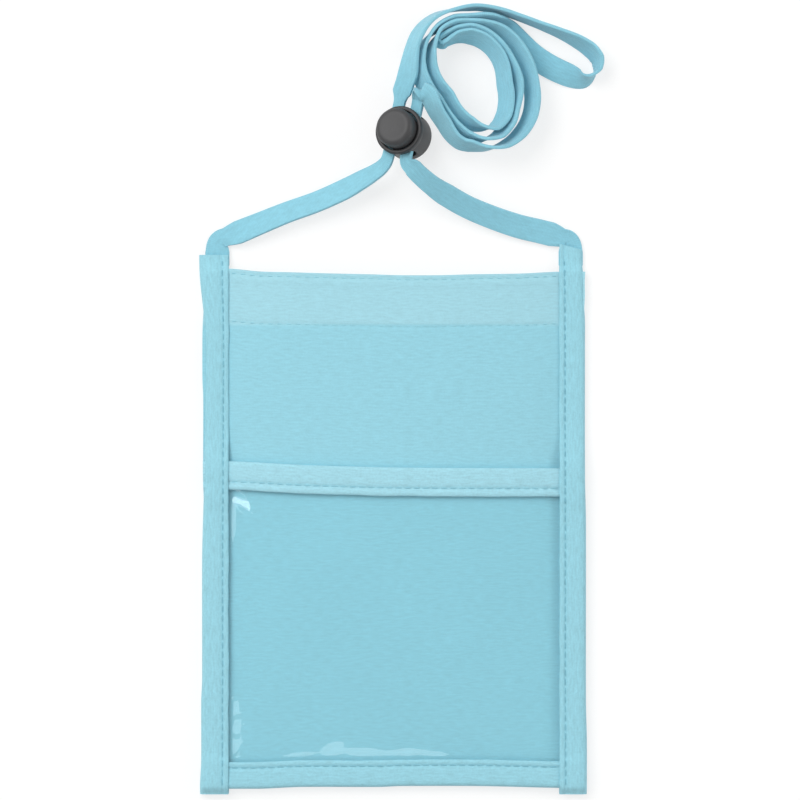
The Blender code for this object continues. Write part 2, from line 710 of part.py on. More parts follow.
def make_lock_spring():
    """The coil spring between the barrel's floor and the plunger's seat."""
    foot = BARREL_FLOOR + SEAM_GAP + SPRING_WIRE / 2
    seat = HOLE_BASE + PLUNGER_TRAVEL - PLUNGER_FOOT + SPRING_SEAT_DEPTH
    head = seat - SEAM_GAP - SPRING_WIRE / 2
    count = 24 * SPRING_TURNS
    data = bpy.data.curves.new("lock_spring", "CURVE")
    data.dimensions = "3D"
    data.bevel_depth = SPRING_WIRE / 2
    data.bevel_resolution = 1
    data.use_fill_caps = True
    spline = data.splines.new("POLY")
    spline.points.add(count)
    for i in range(count + 1):
        turn = math.tau * i / 24
        x = SPRING_RADIUS * math.cos(turn)
        y = SPRING_RADIUS * math.sin(turn)
        spline.points[i].co = (x, y, foot + (head - foot) * i / count, 1)
    spring = bpy.data.objects.new("lock_spring", data)
    parts.objects.link(spring)
    spring.matrix_world = lock_matrix()
    paint(spring, "steel")
    wire_pitch = (head - foot) / SPRING_TURNS
    print(f"least gap in the spring: {wire_pitch - SPRING_WIRE:.5f} m")


def make_pouch():
    make_back_panel()
    make_front_panel()
    make_window_film()
    make_window_tape()
    make_bottom_tape()
    make_side_tape("left_tape", -1)
    make_side_tape("right_tape", 1)


def make_lock():
    make_lock_barrel()
    make_lock_plunger()
    make_lock_spring()


clear_scene()
parts = new_collection("neck_wallet")
cutters = new_collection("cutters")
make_pouch()
make_strap()
make_lock()
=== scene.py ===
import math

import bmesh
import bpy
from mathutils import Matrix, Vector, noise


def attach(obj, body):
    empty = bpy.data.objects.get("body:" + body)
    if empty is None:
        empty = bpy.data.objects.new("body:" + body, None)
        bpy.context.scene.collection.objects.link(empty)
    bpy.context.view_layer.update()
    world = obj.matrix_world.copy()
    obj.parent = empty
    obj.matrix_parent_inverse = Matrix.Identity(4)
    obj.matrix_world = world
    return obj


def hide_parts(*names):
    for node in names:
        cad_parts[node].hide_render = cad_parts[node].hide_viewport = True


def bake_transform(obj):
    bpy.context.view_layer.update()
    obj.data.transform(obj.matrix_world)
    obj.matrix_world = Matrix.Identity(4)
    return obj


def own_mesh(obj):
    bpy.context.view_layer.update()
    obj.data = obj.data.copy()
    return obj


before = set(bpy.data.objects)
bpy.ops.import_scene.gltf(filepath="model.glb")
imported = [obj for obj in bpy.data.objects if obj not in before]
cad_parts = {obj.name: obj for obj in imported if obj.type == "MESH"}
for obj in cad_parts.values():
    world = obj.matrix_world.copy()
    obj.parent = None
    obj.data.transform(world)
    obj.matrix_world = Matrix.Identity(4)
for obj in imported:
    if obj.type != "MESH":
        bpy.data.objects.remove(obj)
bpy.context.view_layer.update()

# %% [markdown]
# # A neck wallet
# The real object is a flat cloth pouch that hangs from a narrow strap. Its edges are bound with folded
# tape, a clear film makes a window pocket on its front, and a spring lock holds the strap's two strands.
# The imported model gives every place. Each soft solid in it is replaced here by a finer piece with its
# folds, seams and stitches.

bpy.ops.object.select_all(action="DESELECT")

# %% [markdown]
# ## Camera
# The wallet lies flat and is seen from straight above. A long lens far away shows it almost without
# perspective, as a product picture does. The width of the view at the cloth's level sets the lens.

# %% Camera
VIEW_MIDDLE = (0.00198, 0.04059)
VIEW_WIDTH = 0.26456
CAMERA_HEIGHT = 1.5
CLOTH_LEVEL = 0.003

bpy.ops.object.camera_add(location=(*VIEW_MIDDLE, CAMERA_HEIGHT), rotation=(0, 0, 0))
camera = bpy.context.object
camera.name = "camera"
camera.data.lens = camera.data.sensor_width * (CAMERA_HEIGHT - CLOTH_LEVEL) / VIEW_WIDTH
bpy.context.scene.camera = camera
bpy.context.scene.view_settings.view_transform = "Standard"
print(f"lens {camera.data.lens:.1f} mm")

# %% [markdown]
# ## Shared effects in the finishes
# Cloth, tape and webbing all show threads, so the thread pattern is a node group that each finish uses with
# its own thread count. A second group gives the faint, uneven tone of dyed fibre, and a third the fine
# grain of moulded plastic. All read the piece's UV map, which is in metres, or its own coordinates.

# %% Helpers for node trees
def feed(tree, socket, value):
    """Link a socket to another one, or set it to a value."""
    if isinstance(value, bpy.types.NodeSocket):
        tree.links.new(value, socket)
    elif value is not None:
        socket.default_value = value


def add_node(tree, kind, inputs=None, **settings):
    """A node with its settings. Its inputs, by name or number, take a value or another node's socket."""
    node = tree.nodes.new(kind)
    for name, value in settings.items():
        setattr(node, name, value)
    for name, value in (inputs or {}).items():
        feed(tree, node.inputs[name], value)
    return node


def maths(tree, operation, first, second=None):
    """The result of a Math node fed by sockets or numbers."""
    return add_node(tree, "ShaderNodeMath", {0: first, 1: second}, operation=operation).outputs[0]


def times(tree, first, second):
    return maths(tree, "MULTIPLY", first, second)


def plus(tree, first, second):
    return maths(tree, "ADD", first, second)


def noise_node(tree, place, scale, detail):
    """How cloudy a place is, from 0 to 1."""
    inputs = {"Vector": place, "Scale": scale, "Detail": detail}
    return add_node(tree, "ShaderNodeTexNoise", inputs).outputs["Fac"]


def swing(tree, cloud, depth):
    """Noise as a swing to both sides of nothing, of a given depth."""
    return times(tree, maths(tree, "SUBTRACT", cloud, 0.5), depth)


def new_group(name, inputs, outputs):
    """An empty node group with named sockets, and its input and output nodes."""
    tree = bpy.data.node_groups.new(name, "ShaderNodeTree")
    for label, kind, value in inputs:
        socket = tree.interface.new_socket(name=label, in_out="INPUT", socket_type=kind)
        if value is not None:
            socket.default_value = value
    for label in outputs:
        tree.interface.new_socket(name=label, in_out="OUTPUT", socket_type="NodeSocketFloat")
    return tree, tree.nodes.new("NodeGroupInput").outputs, tree.nodes.new("NodeGroupOutput").inputs


# %% Threads that cross over and under
SLUBS_PER_METRE = 420.0
GAP_POWER = 0.35


def make_weave_group():
    """Plain weave: Height of the threads, and Mask, which is low between them."""
    sockets = [
        ("Vector", "NodeSocketVector", None),
        ("Warp per metre", "NodeSocketFloat", 2600.0),
        ("Weft per metre", "NodeSocketFloat", 2600.0),
        ("Slub", "NodeSocketFloat", 0.3),
    ]
    tree, given, result = new_group("Plain weave", sockets, ["Height", "Mask"])
    place = add_node(tree, "ShaderNodeSeparateXYZ", {0: given["Vector"]}).outputs
    uneven = swing(tree, noise_node(tree, given["Vector"], SLUBS_PER_METRE, 2.0), given["Slub"])
    along = plus(tree, times(tree, place["X"], given["Warp per metre"]), uneven)
    across = plus(tree, times(tree, place["Y"], given["Weft per metre"]), uneven)
    warp, weft = (
        maths(tree, "ABSOLUTE", maths(tree, "SINE", times(tree, threads, math.pi)))
        for threads in (along, across)
    )
    cells = plus(tree, maths(tree, "FLOOR", along), maths(tree, "FLOOR", across))
    over = maths(tree, "PINGPONG", cells, 1.0)
    height = add_node(tree, "ShaderNodeMix", {0: over, 2: warp, 3: weft}, data_type="FLOAT")
    tree.links.new(height.outputs[0], result["Height"])
    tree.links.new(maths(tree, "POWER", times(tree, warp, weft), GAP_POWER), result["Mask"])
    return tree


weave_group = make_weave_group()


# %% Uneven dye and moulded grain
TONE_LAYERS = (
    ("Drift", 28.0, (1, 1, 1)),
    ("Fleck", 1400.0, (1, 1, 1)),
    ("Streak", 1.0, (300, 1500, 1)),
)
DUST_PER_METRE = 260.0


def make_tone_group():
    """Tone of dyed fibre: a factor near 1 with slow drift, fine flecks and streaks along the threads."""
    sockets = [
        ("Vector", "NodeSocketVector", None),
        ("Drift", "NodeSocketFloat", 0.03),
        ("Fleck", "NodeSocketFloat", 0.05),
        ("Streak", "NodeSocketFloat", 0.05),
    ]
    tree, given, result = new_group("Fibre tone", sockets, ["Tone"])
    total = 1.0
    for depth, scale, stretch in TONE_LAYERS:
        spread = add_node(tree, "ShaderNodeMapping", {"Vector": given["Vector"], "Scale": stretch})
        cloud = noise_node(tree, spread.outputs[0], scale, 3.0)
        total = plus(tree, swing(tree, cloud, given[depth]), total)
    tree.links.new(total, result["Tone"])
    return tree


def make_grain_group():
    """Fine moulded grain: Height for bump, and Dust, a soft patchy mask."""
    sockets = [("Vector", "NodeSocketVector", None), ("Grain per metre", "NodeSocketFloat", 2500.0)]
    tree, given, result = new_group("Moulded grain", sockets, ["Height", "Dust"])
    tree.links.new(noise_node(tree, given["Vector"], given["Grain per metre"], 2.0), result["Height"])
    tree.links.new(noise_node(tree, given["Vector"], DUST_PER_METRE, 4.0), result["Dust"])
    return tree


tone_group = make_tone_group()
grain_group = make_grain_group()
print("node groups:", weave_group.name, tone_group.name, grain_group.name)


# %% [markdown]
# ## Finishes
# The pouch is a closely woven polyester in pale turquoise, the tapes are a little smoother, and the strap
# is a soft flat webbing. Thread height drives the bump, the gaps between threads are darker, and sheen on
# the shader gives the soft bloom of brushed fibre. The film is nearly clear, and the lock is black satin
# plastic.

# %% Helpers for finishes
def new_material(name, **constants):
    """A material with constants on its shader's own sockets."""
    material = bpy.data.materials.new(name)
    material.use_nodes = True
    shader = material.node_tree.nodes["Principled BSDF"]
    for socket, value in constants.items():
        shader.inputs[socket.replace("_", " ")].default_value = value
    return material, material.node_tree, shader


def grouped(tree, group, place, **inputs):
    """The outputs of a node group that is read at a place."""
    named = {name.replace("_", " "): value for name, value in inputs.items()}
    return add_node(tree, "ShaderNodeGroup", {"Vector": place, **named}, node_tree=group).outputs


def on_threads(tree):
    """The place on the piece's UV map, in metres."""
    return add_node(tree, "ShaderNodeUVMap", uv_map="UVMap").outputs[0]


def on_piece(tree):
    """The place in the piece's own coordinates."""
    return add_node(tree, "ShaderNodeTexCoord").outputs["Object"]


def paint(tree, shader, colour, factor):
    """Base colour: a colour, or a socket that has one, times a factor."""
    scaled = add_node(tree, "ShaderNodeVectorMath", {0: colour, "Scale": factor}, operation="SCALE")
    tree.links.new(scaled.outputs[0], shader.inputs["Base Color"])


def emboss(tree, shader, height, strength, depth):
    """Relief in the shader's normal."""
    relief = add_node(tree, "ShaderNodeBump", {"Strength": strength, "Distance": depth, "Height": height})
    tree.links.new(relief.outputs[0], shader.inputs["Normal"])


# %% Woven finishes
CLOTH_COLOUR = (0.322, 0.680, 0.795)
HEM_COLOUR = (0.385, 0.715, 0.815)
HEM_BLUR = 0.001
CLOTH_THREADS = (4300, 4300)
TAPE_THREADS = (4700, 3900)
WEBBING_THREADS = (2100, 4600)
SEWING_THREADS = (5200, 1400)
CLOTH_TONES = {"Drift": 0.03, "Fleck": 0.12, "Streak": 0.26}
TAPE_TONES = {"Fleck": 0.22, "Streak": 0.36}
WEBBING_TONES = {"Drift": 0.07, "Fleck": 0.16, "Streak": 0.30}
MEAN_MASK = 0.75


def woven(name, colour, threads, gap_shade, bump=0.00006, hem_y=None, sheen=0.15, **tones):
    """A woven finish whose threads follow the piece's UV map. Above hem_y two layers of it look paler."""
    material, tree, shader = new_material(name, Sheen_Weight=sheen, Sheen_Roughness=0.5)
    place = on_threads(tree)
    weave = grouped(tree, weave_group, place, Warp_per_metre=threads[0], Weft_per_metre=threads[1])
    tone = grouped(tree, tone_group, place, **{**CLOTH_TONES, **tones})["Tone"]
    shade = plus(tree, times(tree, weave["Mask"], gap_shade), 1 - gap_shade * MEAN_MASK)
    if hem_y:
        along = add_node(tree, "ShaderNodeSeparateXYZ", {0: on_piece(tree)}).outputs["Y"]
        limits = {"Value": along, "From Min": hem_y, "From Max": hem_y + HEM_BLUR}
        doubled = add_node(tree, "ShaderNodeMapRange", limits).outputs[0]
        tint = {"Factor": doubled, "A": colour, "B": HEM_COLOUR}
        colour = add_node(tree, "ShaderNodeMix", tint, data_type="VECTOR").outputs["Result"]
    paint(tree, shader, colour, times(tree, shade, tone))
    matt = maths(tree, "SUBTRACT", 1.02, times(tree, weave["Height"], 0.2))
    tree.links.new(matt, shader.inputs["Roughness"])
    emboss(tree, shader, weave["Height"], 0.6, bump)
    return material


cloth = woven("panel cloth", CLOTH_COLOUR, CLOTH_THREADS, 0.16)
front_cloth_finish = woven("front cloth", CLOTH_COLOUR, CLOTH_THREADS, 0.16, hem_y=0.0649)
binding = woven("binding tape", (0.332, 0.682, 0.792), TAPE_THREADS, 0.12, **TAPE_TONES)
window_binding = woven("window tape", (0.385, 0.725, 0.830), TAPE_THREADS, 0.12, **TAPE_TONES)
webbing = woven("strap webbing", (0.268, 0.615, 0.745), WEBBING_THREADS, 0.14, bump=0.00007, sheen=0.30,
                **WEBBING_TONES)
# Painted shade: this thread is darker than the tape it holds, standing in for the shade in its stitch holes.
thread = woven("sewing thread", (0.245, 0.570, 0.685), SEWING_THREADS, 0.25)
pale_thread = woven("pale sewing thread", (0.315, 0.660, 0.770), SEWING_THREADS, 0.25)
woven_finishes = (cloth, front_cloth_finish, binding, window_binding, webbing, thread, pale_thread)
print("woven finishes:", ", ".join(material.name for material in woven_finishes))


# %% Film, plastic and steel
FILM_TINT = (0.835, 0.965, 0.985)
STEEL_COLOUR = (0.62, 0.62, 0.60)


def clear_film():
    """Soft clear vinyl: it tints a little and is slightly uneven in its gloss."""
    material, tree, shader = new_material("clear film", Transmission_Weight=1.0, IOR=1.50)
    tone = grouped(tree, tone_group, on_threads(tree), Drift=0.02, Fleck=0.01, Streak=0.0)["Tone"]
    paint(tree, shader, FILM_TINT, tone)
    haze = times(tree, maths(tree, "SUBTRACT", tone, 0.98), 0.6)
    tree.links.new(haze, shader.inputs["Roughness"])
    return material


def moulded(name, colour, roughness):
    """Satin moulded plastic with fine grain and a trace of dust."""
    material, tree, shader = new_material(name, IOR=1.5)
    grain = grouped(tree, grain_group, on_piece(tree))
    paint(tree, shader, colour, plus(tree, times(tree, grain["Dust"], 0.5), 0.75))
    tree.links.new(plus(tree, times(tree, grain["Dust"], 0.12), roughness), shader.inputs["Roughness"])
    emboss(tree, shader, grain["Height"], 0.35, 0.00005)
    return material


def drawn_steel():
    """Bright drawn wire with faint grain."""
    material, tree, shader = new_material("spring steel", Metallic=1.0)
    grain = grouped(tree, grain_group, on_piece(tree), Grain_per_metre=6000.0)
    paint(tree, shader, STEEL_COLOUR, plus(tree, times(tree, grain["Height"], 0.3), 0.85))
    tree.links.new(plus(tree, times(tree, grain["Dust"], 0.2), 0.2), shader.inputs["Roughness"])
    return material


film = clear_film()
barrel_plastic = moulded("lock barrel plastic", (0.030, 0.030, 0.032), 0.40)
button_plastic = moulded("lock button plastic", (0.050, 0.050, 0.052), 0.46)
steel = drawn_steel()
print("other finishes:", film.name, barrel_plastic.name, button_plastic.name, steel.name)


# %% [markdown]
# ## Sheets, tapes and webbing as swept skins
# Cloth has two faces and a thin edge all round. Every soft piece is a section that travels along a run: an
# outline whose first half is one face and whose second half is the other face, walked back. The ends are
# closed by bridging the two faces. The UV map holds real lengths, so threads keep one size on every piece.

# %% Sweep a section along a run
SHARP_ANGLE = math.radians(40)


def unit(vector):
    return vector / vector.length


def finish_piece(item, material, slot, body, *nodes):
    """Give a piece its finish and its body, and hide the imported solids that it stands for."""
    item.data.materials.clear()
    item.data.materials.append(material)
    if nodes:
        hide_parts(*nodes)
    if body:
        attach(item, body)
    print(f"{item.name}: {len(item.data.polygons)} faces")


def swept(name, rings):
    """A closed skin through outlines of equal count. Its UV map is in metres, along the run and round it."""
    count = len(rings[0])
    half = count // 2
    mesh = bmesh.new()
    layer = mesh.loops.layers.uv.new("UVMap")
    rows = [[mesh.verts.new(point) for point in ring] for ring in rings]
    middle = rings[len(rings) // 2]
    round_run = [0.0]
    for i in range(count):
        round_run.append(round_run[-1] + (Vector(middle[(i + 1) % count]) - Vector(middle[i])).length)
    run = [0.0]
    for before, after in zip(rings, rings[1:]):
        step = sum((Vector(after[k]) - Vector(before[k])).length for k in (0, half // 2, half - 1)) / 3
        run.append(run[-1] + step)

    def add_face(corners):
        face = mesh.faces.new([rows[i][j % count] for i, j in corners])
        face.smooth = True
        for loop, (i, j) in zip(face.loops, corners):
            loop[layer].uv = (run[i], round_run[j])

    for i in range(len(rings) - 1):
        for j in range(count):
            add_face([(i, j), (i, j + 1), (i + 1, j + 1), (i + 1, j)])
    for i in (0, len(rings) - 1):
        for j in range(half - 1):
            add_face([(i, j), (i, j + 1), (i, count - 2 - j), (i, count - 1 - j)])
    bmesh.ops.recalc_face_normals(mesh, faces=mesh.faces)
    data = bpy.data.meshes.new(name)
    mesh.to_mesh(data)
    mesh.free()
    data.set_sharp_from_angle(angle=SHARP_ANGLE)
    item = bpy.data.objects.new(name, data)
    bpy.context.scene.collection.objects.link(item)
    return item


def steps(low, high, pitch):
    """Evenly spaced places from low to high, about a pitch apart, both ends included."""
    count = max(1, round((high - low) / pitch))
    return [low + (high - low) * i / count for i in range(count + 1)]


def curve_value(a, b, c, d, part):
    """A point on the smooth curve between b and c."""
    cubic = part * (3 * b - a - 3 * c + d) / 2
    return b + part * ((c - a) / 2 + part * ((2 * a - 5 * b + 4 * c - d) / 2 + cubic))


def table_value(rows, place):
    """A smooth curve through (place, value) rows, level beyond its ends."""
    if place <= rows[0][0]:
        return rows[0][1]
    if place >= rows[-1][0]:
        return rows[-1][1]
    i = next(k for k in range(len(rows) - 1) if rows[k + 1][0] > place)
    part = (place - rows[i][0]) / (rows[i + 1][0] - rows[i][0])
    around = [rows[min(max(i + k, 0), len(rows) - 1)][1] for k in (-1, 0, 1, 2)]
    return curve_value(*around, part)


def ramp(value, low, high):
    """0 below low, 1 above high and smooth between."""
    share = min(1, max(0, (value - low) / (high - low)))
    return share * share * (3 - 2 * share)


def wander(x, y, scale, seed):
    """Smooth unevenness between about -1 and 1."""
    return noise.noise(Vector((x * scale, y * scale, seed)))


# %% [markdown]
# ## The strap's way
# One flat strap runs from the left corner up through the lock, round the bundled coil and its long end
# loop, and back through the lock to the right corner. It is placed by its middle line, by how far its width
# leans and by its width and thickness: it is creased at the corners and gathered in the lock. The middle
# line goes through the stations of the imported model, with finer steps between them.

# %% Stations of the strap: place from the top of the side tapes, lean, and size unless it is flat
TAPE_TOP = Vector((0, 0.0895, 0))
FLAT = (0.0080, 0.0012)
SLACK = (0.0070, 0.0013)
GATHERED = (0.0058, 0.0014)
TIGHT = (0.0048, 0.0016)
PINCHED = (0.0040, 0.0017)
CREASED = (0.0070, 0.0006)
TURNED = (0.0062, 0.0007)
EASED = (0.0064, 0.0014)
EASING = (0.0066, 0.0014)
DOUBLED = Vector((0.78, 0.14, 0.60))
LEFT_STRAND = [
    (-0.0585, 0.0025, 0.0011, 0, CREASED),
    (-0.0577, 0.0042, 0.0012, 3, TURNED),
    (-0.0556, 0.0051, 0.0014, 8, TURNED),
    (-0.0515, 0.0066, 0.0019, 14),
    (-0.0441, 0.0096, 0.0025, 24),
    (-0.0354, 0.0131, 0.0030, 30),
    (-0.0255, 0.0166, 0.0038, 32),
    (-0.0162, 0.0207, 0.0055, 32),
    (-0.0106, 0.0237, 0.0072, 30, SLACK),
    (-0.0066, 0.0260, 0.0087, 28, GATHERED),
    (-0.0037, 0.0282, 0.0100, 25, TIGHT),
]
RISING_STRAND = [
    (0.0026, 0.0525, 0.0082, 22, EASING),
    (0.0037, 0.0557, 0.0091, 28, SLACK),
    (0.0048, 0.0594, 0.0104, 38),
    (0.0054, 0.0633, 0.0113, 50),
    (0.0062, 0.0676, 0.0113, 60),
    (0.0079, 0.0718, 0.0107, 62),
    (0.0106, 0.0754, 0.0098, 70),
    (0.0146, 0.0782, 0.0088, 79),
    (0.0202, 0.0799, 0.0076, 88),
    (0.0251, 0.0806, 0.0067, 96),
]
END_LOOP = [
    (0.0291, 0.0806, 0.0061, 97),
    (0.0351, 0.0796, 0.0053, 97),
    (0.0417, 0.0774, 0.0048, 98),
    (0.0483, 0.0749, 0.0045, 100),
    (0.0549, 0.0723, 0.0043, 106),
    (0.0606, 0.0696, 0.0041, 116),
    (0.0648, 0.0668, 0.0040, 122),
    (0.0671, 0.0639, 0.0040, 119),
    (0.0672, 0.0609, 0.0038, 108),
    (0.0655, 0.0583, 0.0034, 84),
    (0.0622, 0.0571, 0.0026, 50),
    (0.0575, 0.0587, 0.0018, 20),
    (0.0516, 0.0615, 0.0013, 8),
    (0.0460, 0.0652, 0.0011, 6),
    (0.0413, 0.0696, 0.0012, 6),
    (0.0373, 0.0735, 0.0022, 24),
    (0.0334, 0.0759, 0.0044, 52),
    (0.0298, 0.0767, 0.0059, 62),
]
FALLING_STRAND = [
    (0.0219, 0.0355, 0.0119, 63),
    (0.0189, 0.0380, 0.0126, 60),
    (0.0163, 0.0421, 0.0134, 56),
    (0.0141, 0.0454, 0.0142, 54),
    (0.0126, 0.0484, 0.0150, 51),
    (0.0115, 0.0509, 0.0152, DOUBLED, SLACK),
    (0.0098, 0.0524, 0.0146, DOUBLED, GATHERED),
    (0.0085, 0.0523, 0.0129, DOUBLED, TIGHT),
    (0.0083, 0.0506, 0.0115, 156, TIGHT),
]
RIGHT_STRAND = [
    (0.0063, 0.0273, 0.0128, 160, EASED),
    (0.0089, 0.0247, 0.0115, 160, EASING),
    (0.0126, 0.0217, 0.0095, 158, SLACK),
    (0.0169, 0.0189, 0.0073, 156),
    (0.0241, 0.0149, 0.0050, 156),
    (0.0326, 0.0114, 0.0036, 160),
    (0.0410, 0.0086, 0.0028, 166),
    (0.0478, 0.0070, 0.0021, 170),
    (0.0522, 0.0059, 0.0018, 173),
    (0.0557, 0.0048, 0.0014, 176, TURNED),
    (0.0577, 0.0042, 0.0012, 179, TURNED),
    (0.0585, 0.0025, 0.0011, 180, CREASED),
]

# %% The lock's axes: across its two holes, along the strap, and towards its button
LOCK_FOOT = TAPE_TOP + Vector((0.0056, 0.0376, 0.0035))
LOCK_HEADING = math.radians(9)
HOLE_SPACING = 0.0066
STRAND_LEVEL = 0.0078
STRAND_REACH = (-0.0086, 0, 0.0102)

towards_button = Vector((-0.359, 0.191, 0.914)).normalized()
heading = Vector((math.sin(LOCK_HEADING), math.cos(LOCK_HEADING), 0))
along_lock = unit(heading - heading.dot(towards_button) * towards_button)
across_lock = along_lock.cross(towards_button)
lock_axes = Matrix((across_lock, along_lock, towards_button)).transposed()
lock_place = Matrix.Translation(LOCK_FOOT) @ lock_axes.to_4x4()


def through_lock(side, upwards):
    """Strap stations straight through one hole of the lock."""
    middle = LOCK_FOOT + side * HOLE_SPACING / 2 * across_lock + STRAND_LEVEL * towards_button
    run = [(middle + reach * along_lock, across_lock, PINCHED) for reach in STRAND_REACH]
    return run if upwards else run[::-1]


# %% The coil: radii every 30 degrees, and how far in each strand lies, from the outer radius to the inner one
COIL_PITCH = 30
COIL_CENTRE = TAPE_TOP + Vector((0.0251, 0.0554, 0.0090))
COIL_LEAN = (0.600, 0.800)
COIL_LEAN_WAY = 43.3
COIL_FLARE = 20
COIL_SLUMP = 58
COIL_SLUMP_AT = -60
COIL_SLUMP_REACH = 44
COIL_SLOPE = Vector((0.127, 0.122))
COIL_OUTER = [0.0202, 0.0195, 0.0202, 0.0207, 0.0212, 0.0198, 0.0182, 0.0164, 0.0172, 0.0207, 0.0232, 0.0225]
COIL_INNER = [0.0114, 0.0121, 0.0139, 0.0157, 0.0159, 0.0146, 0.0112, 0.0089, 0.0103, 0.0134, 0.0164, 0.0137]
FIRST_SHARES = [0.0, 0.0, 0.10, 0.40, 0.45, 0.38, 0.33, 0.58, 0.74, 0.58, 0.70, 0.74, 0.67, 0.68]
SECOND_SHARES = [0.0, 0.0, 0.0, 0.0, 0.0, 0.07, 0.35, 0.30, 0.84] + [1.0] * 12
COIL_END = 480
FOLD_BULGE = 0.0020
FOLD_SPREAD = 1.3


def even_value(values, place, closed):
    """A smooth curve through evenly spaced values, read at a place counted in steps."""
    low = math.floor(place)
    count = len(values)
    picked = [(low + k) % count if closed else min(max(low + k, 0), count - 1) for k in (-1, 0, 1, 2)]
    return curve_value(*(values[i] for i in picked), place - low)


def coil_point(angle, share):
    """A point of the coil at an angle in degrees, a share of the way in."""
    outer, inner = (even_value(radii, angle / COIL_PITCH, True) for radii in (COIL_OUTER, COIL_INNER))
    turn = math.radians(angle)
    offset = Vector((math.cos(turn), math.sin(turn))) * (outer + (inner - outer) * share)
    return COIL_CENTRE + Vector((offset.x, offset.y, -offset.dot(COIL_SLOPE)))


def coil_lean(angle):
    """The strap's width round the coil: it leans one way, flares and slumps at the lower right."""
    flare = COIL_FLARE * math.sin(math.radians(2 * (angle - COIL_LEAN_WAY)))
    past = (angle - COIL_SLUMP_AT + 180) % 360 - 180
    way = math.radians(COIL_LEAN_WAY + flare - COIL_SLUMP * math.exp(-(past / COIL_SLUMP_REACH) ** 2))
    return Vector((COIL_LEAN[0] * math.cos(way), COIL_LEAN[0] * math.sin(way), COIL_LEAN[1]))


def narrowed(angle):
    """The strap's size round the coil: full, and a little gathered where it nears its inner end."""
    share = ramp(angle, COIL_END - COIL_PITCH, COIL_END + 10)
    return FLAT[0] + (PINCHED[0] - FLAT[0]) * share, FLAT[1]


def coil_turns(start, shares):
    """Strap stations from a start angle to the coil's inner end."""
    stations = []
    for angle in range(start, COIL_END + COIL_PITCH // 2, COIL_PITCH // 2):
        share = even_value(shares, (angle - start) / COIL_PITCH, False)
        stations.append((coil_point(angle, share), coil_lean(angle), narrowed(angle)))
    return stations


def coil_fold(first_end, second_end):
    """The bend at the coil's inner end, where the strap turns back on itself."""
    turn = math.radians(COIL_END)
    ahead = Vector((-math.sin(turn), math.cos(turn), 0))
    middle, aside = (first_end + second_end) / 2, (first_end - second_end) / 2
    stations = []
    for degrees in (40, 90, 140):
        turn = math.radians(degrees)
        place = middle + aside * math.cos(turn) * FOLD_SPREAD + ahead * FOLD_BULGE * math.sin(turn)
        stations.append((place, coil_lean(COIL_END), (PINCHED[0], FLAT[1])))
    return stations


# %% The whole run, from tab to tab
TAB_X = 0.0585
TAB_LEVEL = 0.0011
TAB_PLACES = (0.0851, 0.08735, 0.0896)
TAB_SIZE = (0.0080, 0.0006)


def leaning(rows):
    return [(TAPE_TOP + Vector(row[:3]), row[3], row[4] if len(row) > 4 else FLAT) for row in rows]


def strap_tab(side):
    """The strap's sewn end inside the side tape."""
    lean = 0 if side < 0 else 180
    return [(Vector((side * TAB_X, y, TAB_LEVEL)), lean, TAB_SIZE) for y in TAB_PLACES]


first_coil = coil_turns(90, FIRST_SHARES)
second_coil = coil_turns(-90, SECOND_SHARES)
inner_fold = coil_fold(first_coil[-1][0], second_coil[-1][0])
left_run = strap_tab(-1) + leaning(LEFT_STRAND) + through_lock(-1, True) + leaning(RISING_STRAND)
right_run = leaning(FALLING_STRAND) + through_lock(1, False) + leaning(RIGHT_STRAND) + strap_tab(1)[::-1]
RUNS = [
    ("strap_left_web", left_run),
    ("strap_loop_web", leaning(END_LOOP)),
    ("strap_coil_first", first_coil + inner_fold[:2]),
    ("strap_coil_second", inner_fold[2:] + second_coil[::-1]),
    ("strap_right_web", right_run),
]
SPAN_STEPS = 6


def width_direction(way, tangent):
    """The strap's width at a station, square to its run, from a direction or a lean in degrees."""
    if isinstance(way, Vector):
        return unit(way - way.dot(tangent) * tangent)
    right = unit(tangent.cross(Vector((0, 0, 1))))
    up = right.cross(tangent)
    return right * math.cos(math.radians(way)) + up * math.sin(math.radians(way))


def strap_line():
    """The middle line, finely divided (place, width direction and size), and where each piece starts."""
    stations, starts = [], []
    for _, run in RUNS:
        starts.append(len(stations) * SPAN_STEPS)
        stations += run
    places = [place for place, _, _ in stations]
    last = len(places) - 1
    widths = []
    for i, (place, way, _) in enumerate(stations):
        widths.append(width_direction(way, unit(places[min(i + 1, last)] - places[max(i - 1, 0)])))
    line = []
    for i in range(last):
        around = [places[min(max(i + k, 0), last)] for k in (-1, 0, 1, 2)]
        for step in range(SPAN_STEPS):
            part = step / SPAN_STEPS
            size = [p + (q - p) * part for p, q in zip(stations[i][2], stations[i + 1][2])]
            line.append((curve_value(*around, part), widths[i].lerp(widths[i + 1], part), size))
    line.append((places[-1], widths[-1], stations[-1][2]))
    return line, starts + [len(line)]


line, piece_starts = strap_line()
full_length = sum((b[0] - a[0]).length for a, b in zip(line, line[1:]))
print(f"strap {full_length * 1000:.0f} mm from tab to tab, {len(line)} sections")

# %% [markdown]
# ## Webbing
# The strap's section is a flat bar with rounded, slightly fuller edges, as woven webbing has. Where the
# strap narrows at the lock it is gathered, so its section gets lengthwise pleats there.

# %% Sweep the strap's pieces
PLEAT_REACH = 0.00112
PLEAT_HEIGHT = 0.0006
PLEAT_TURNS = 7.5
GATHER_BELOW = 0.0072
GATHER_RATE = 2.5
HALF_FACE = [(1, 0.35), (0.965, 0.85), (0.88, 1.0), (0.6, 0.92), (0.2, 0.86)]


